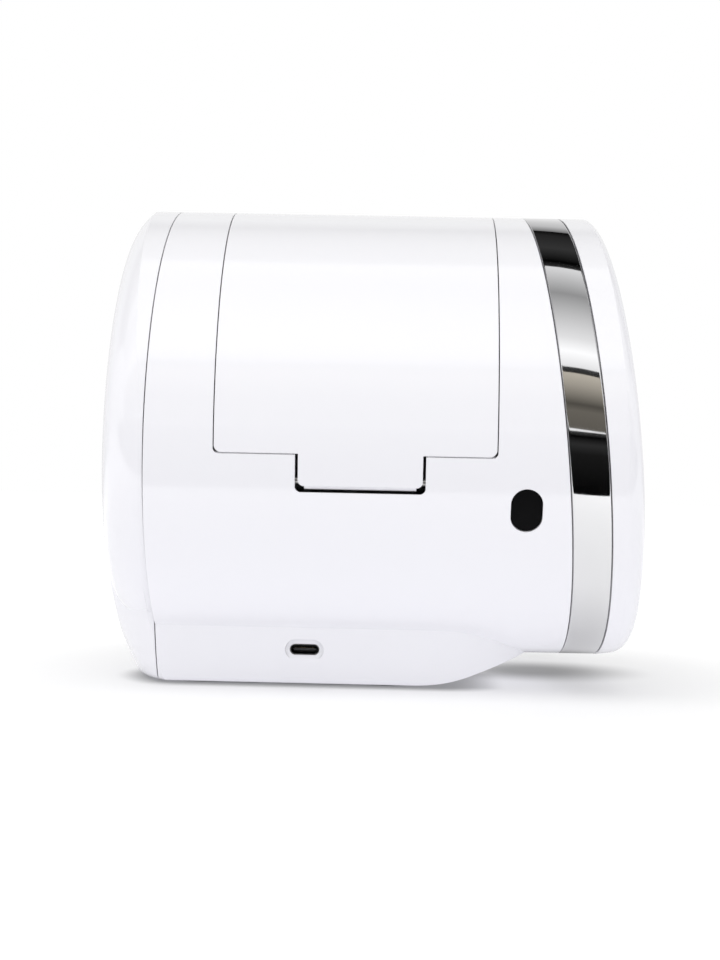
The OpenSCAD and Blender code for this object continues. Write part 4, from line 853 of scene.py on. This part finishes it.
def box_corners(name, inset, z, arrow):
    """Seeds at the four corners of a group of upright screws, each with its arrow."""
    low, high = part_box(name)
    return [((x, y, z), arrow)
            for x in (low.x + inset, high.x - inset) for y in (low.y + inset, high.y - inset)]


def liner_seeds(inset, seat_radius):
    """Seeds on two slopes of the lid liner, with arrows that point at the drum's axis."""
    low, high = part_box("liner_screws")
    seeds = []
    for degrees in LINER_SCREW_DEGREES:
        out = Vector((0.0, math.cos(math.radians(degrees)), math.sin(math.radians(degrees))))
        for x in (low.x + inset, high.x - inset):
            place = Vector((x, 0.0, AXIS_HEIGHT)) + out * seat_radius
            seeds.append((tuple(place), tuple(-out)))
    return seeds


LINER_SCREW_DEGREES = (62.0, 122.0)
LINER_SEAT_RADIUS = 64.75 * MILLIMETRE
DOWN, OUTWARD = (0.0, 0.0, -1.0), (1.0, 0.0, 0.0)
BASE_HEAD, BASE_HEAD_HEIGHT = 2.7 * MILLIMETRE, 0.8 * MILLIMETRE
TRAY_HEAD, TRAY_HEAD_HEIGHT = 2.2 * MILLIMETRE, 1.2 * MILLIMETRE
LINER_HEAD, LINER_HEAD_HEIGHT = 2.5 * MILLIMETRE, 1.45 * MILLIMETRE
BOARD_HEAD, BOARD_HEAD_HEIGHT = 2.4 * MILLIMETRE, 1.45 * MILLIMETRE
BOARD_SEAT_DEPTH = 1.5 * MILLIMETRE
screws = screw_rule()
low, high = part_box("base_screws")
grow(screws, "base_plate_screws", "housing", "base_screws",
     seeds=box_corners("base_screws", BASE_HEAD, low.z + BASE_HEAD_HEIGHT, DOWN),
     head_radius=BASE_HEAD, head_height=BASE_HEAD_HEIGHT, length=0.0088)
low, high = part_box("tray_screws")
grow(screws, "rack_tray_screws", "housing", "tray_screws",
     seeds=box_corners("tray_screws", TRAY_HEAD, low.z + TRAY_HEAD_HEIGHT, DOWN),
     head_radius=TRAY_HEAD, head_height=TRAY_HEAD_HEIGHT, shank_radius=0.00085, length=0.0058)
grow(screws, "lid_liner_screws", "lid", "liner_screws",
     seeds=liner_seeds(LINER_HEAD, LINER_SEAT_RADIUS),
     head_radius=LINER_HEAD, head_height=LINER_HEAD_HEIGHT, length=0.0034)
low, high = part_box("board_screws")
board_seeds = [((high.x - BOARD_SEAT_DEPTH, y, z), OUTWARD)
               for y in (low.y + BOARD_HEAD, high.y - BOARD_HEAD)
               for z in (low.z + BOARD_HEAD, high.z - BOARD_HEAD)]
grow(screws, "main_board_screws", "housing", "board_screws", seeds=board_seeds,
     head_radius=BOARD_HEAD, head_height=BOARD_HEAD_HEIGHT, length=0.0055)

# %% [markdown]
# The charging socket is a deep-drawn steel shell, a rounded slot in section, with a black
# moulded tongue down its middle and a row of gilt contacts on each face of the tongue. The
# shell is built from six slot-shaped loops. Its rim face and inside are painted near black,
# a painted shade, because hardly any light reaches them, and a chamfer on the rim catches what there
# is.

# %% The charging socket
def slot_loop(mesh, centre, width, height, y, arc_steps=10):
    """One ring of vertices in the shape of a slot, facing along Y."""
    radius, half = height / 2, (width - height) / 2
    ring = []
    for side, first in ((1, -90.0), (-1, 90.0)):
        for i in range(arc_steps + 1):
            angle = math.radians(first + 180.0 * i / arc_steps)
            x = centre.x + side * half + radius * math.cos(angle)
            ring.append(mesh.verts.new((x, y, centre.z + radius * math.sin(angle))))
    return ring


def join_loops(mesh, first, second, finish):
    for i in range(len(first)):
        j = (i + 1) % len(first)
        mesh.faces.new((first[i], first[j], second[j], second[i])).material_index = finish


def add_bar(mesh, low, high, finish):
    made = bmesh.ops.create_cube(mesh, size=1.0)
    for vertex in made["verts"]:
        vertex.co = Vector(low[i] if vertex.co[i] < 0 else high[i] for i in range(3))
    for face in {face for vertex in made["verts"] for face in vertex.link_faces}:
        face.material_index = finish


BRIGHT, PAINTED_DARK_INSIDE, TONGUE, GILT = range(4)
# Painted shade: near black steel for the rim face and the inside of the shell, where little light
# reaches.
painted_shade_steel = Finish("shaded_steel", (0.05, 0.05, 0.05), 0.5, metallic=1.0)
gilt = Finish("gilt_contact", (0.70, 0.50, 0.20), 0.3, metallic=1.0)
tongue_black = Finish("tongue_plastic", (0.010, 0.010, 0.011), 0.5)
low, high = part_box("usb_socket")
middle = (low + high) / 2
SHEET, RIM_EASE, BACK_WALL = 0.3 * MILLIMETRE, 0.08 * MILLIMETRE, 1.0 * MILLIMETRE
TONGUE_HALF_WIDTH, TONGUE_HALF_HEIGHT = 3.35 * MILLIMETRE, 0.35 * MILLIMETRE
TONGUE_SETBACK, TONGUE_ROOT = 1.0 * MILLIMETRE, 0.5 * MILLIMETRE
CONTACTS, CONTACT_PITCH, CONTACT_HALF = 12, 0.5 * MILLIMETRE, 0.13 * MILLIMETRE
CONTACT_START, CONTACT_END = 1.6 * MILLIMETRE, 5.2 * MILLIMETRE
CONTACT_THICKNESS = 0.05 * MILLIMETRE
width, height = high.x - low.x, high.z - low.z
mesh = bmesh.new()
loops = [
    slot_loop(mesh, middle, width, height, high.y),
    slot_loop(mesh, middle, width, height, low.y + RIM_EASE),
    slot_loop(mesh, middle, width - 2 * RIM_EASE, height - 2 * RIM_EASE, low.y),
    slot_loop(mesh, middle, width - 2 * SHEET + RIM_EASE, height - 2 * SHEET + RIM_EASE, low.y),
    slot_loop(mesh, middle, width - 2 * SHEET, height - 2 * SHEET, low.y + RIM_EASE),
    slot_loop(mesh, middle, width - 2 * SHEET, height - 2 * SHEET, high.y - BACK_WALL),
]
# The rim's front face, the inner chamfer, the inner walls and the back wall take the painted shade.
for i, finish in enumerate((BRIGHT, BRIGHT, PAINTED_DARK_INSIDE, PAINTED_DARK_INSIDE, PAINTED_DARK_INSIDE)):
    join_loops(mesh, loops[i], loops[i + 1], finish)
mesh.faces.new(loops[0]).material_index = BRIGHT
mesh.faces.new(loops[-1]).material_index = PAINTED_DARK_INSIDE
tongue_low = (middle.x - TONGUE_HALF_WIDTH, low.y + TONGUE_SETBACK, middle.z - TONGUE_HALF_HEIGHT)
tongue_high = (middle.x + TONGUE_HALF_WIDTH, high.y - TONGUE_ROOT, middle.z + TONGUE_HALF_HEIGHT)
add_bar(mesh, tongue_low, tongue_high, TONGUE)
for i in range(CONTACTS):
    x = middle.x + (i - (CONTACTS - 1) / 2) * CONTACT_PITCH
    for z in (tongue_low[2] - 0.6 * CONTACT_THICKNESS, tongue_high[2] - 0.4 * CONTACT_THICKNESS):
        add_bar(mesh, (x - CONTACT_HALF, low.y + CONTACT_START, z),
                (x + CONTACT_HALF, low.y + CONTACT_END, z + CONTACT_THICKNESS), GILT)
bmesh.ops.recalc_face_normals(mesh, faces=mesh.faces)
data = bpy.data.meshes.new("charging_socket")
mesh.to_mesh(data)
mesh.free()
for finish in (finishes["plated_steel"], painted_shade_steel.material, tongue_black.material, gilt.material):
    data.materials.append(finish)
data.shade_smooth()
data.set_sharp_from_angle(angle=math.radians(40.0))
socket = bpy.data.objects.new("charging_socket", data)
bpy.context.scene.collection.objects.link(socket)
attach(socket, "housing")
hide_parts("usb_socket")
print("charging socket:", len(data.polygons), "faces,", 2 * CONTACTS, "contacts")
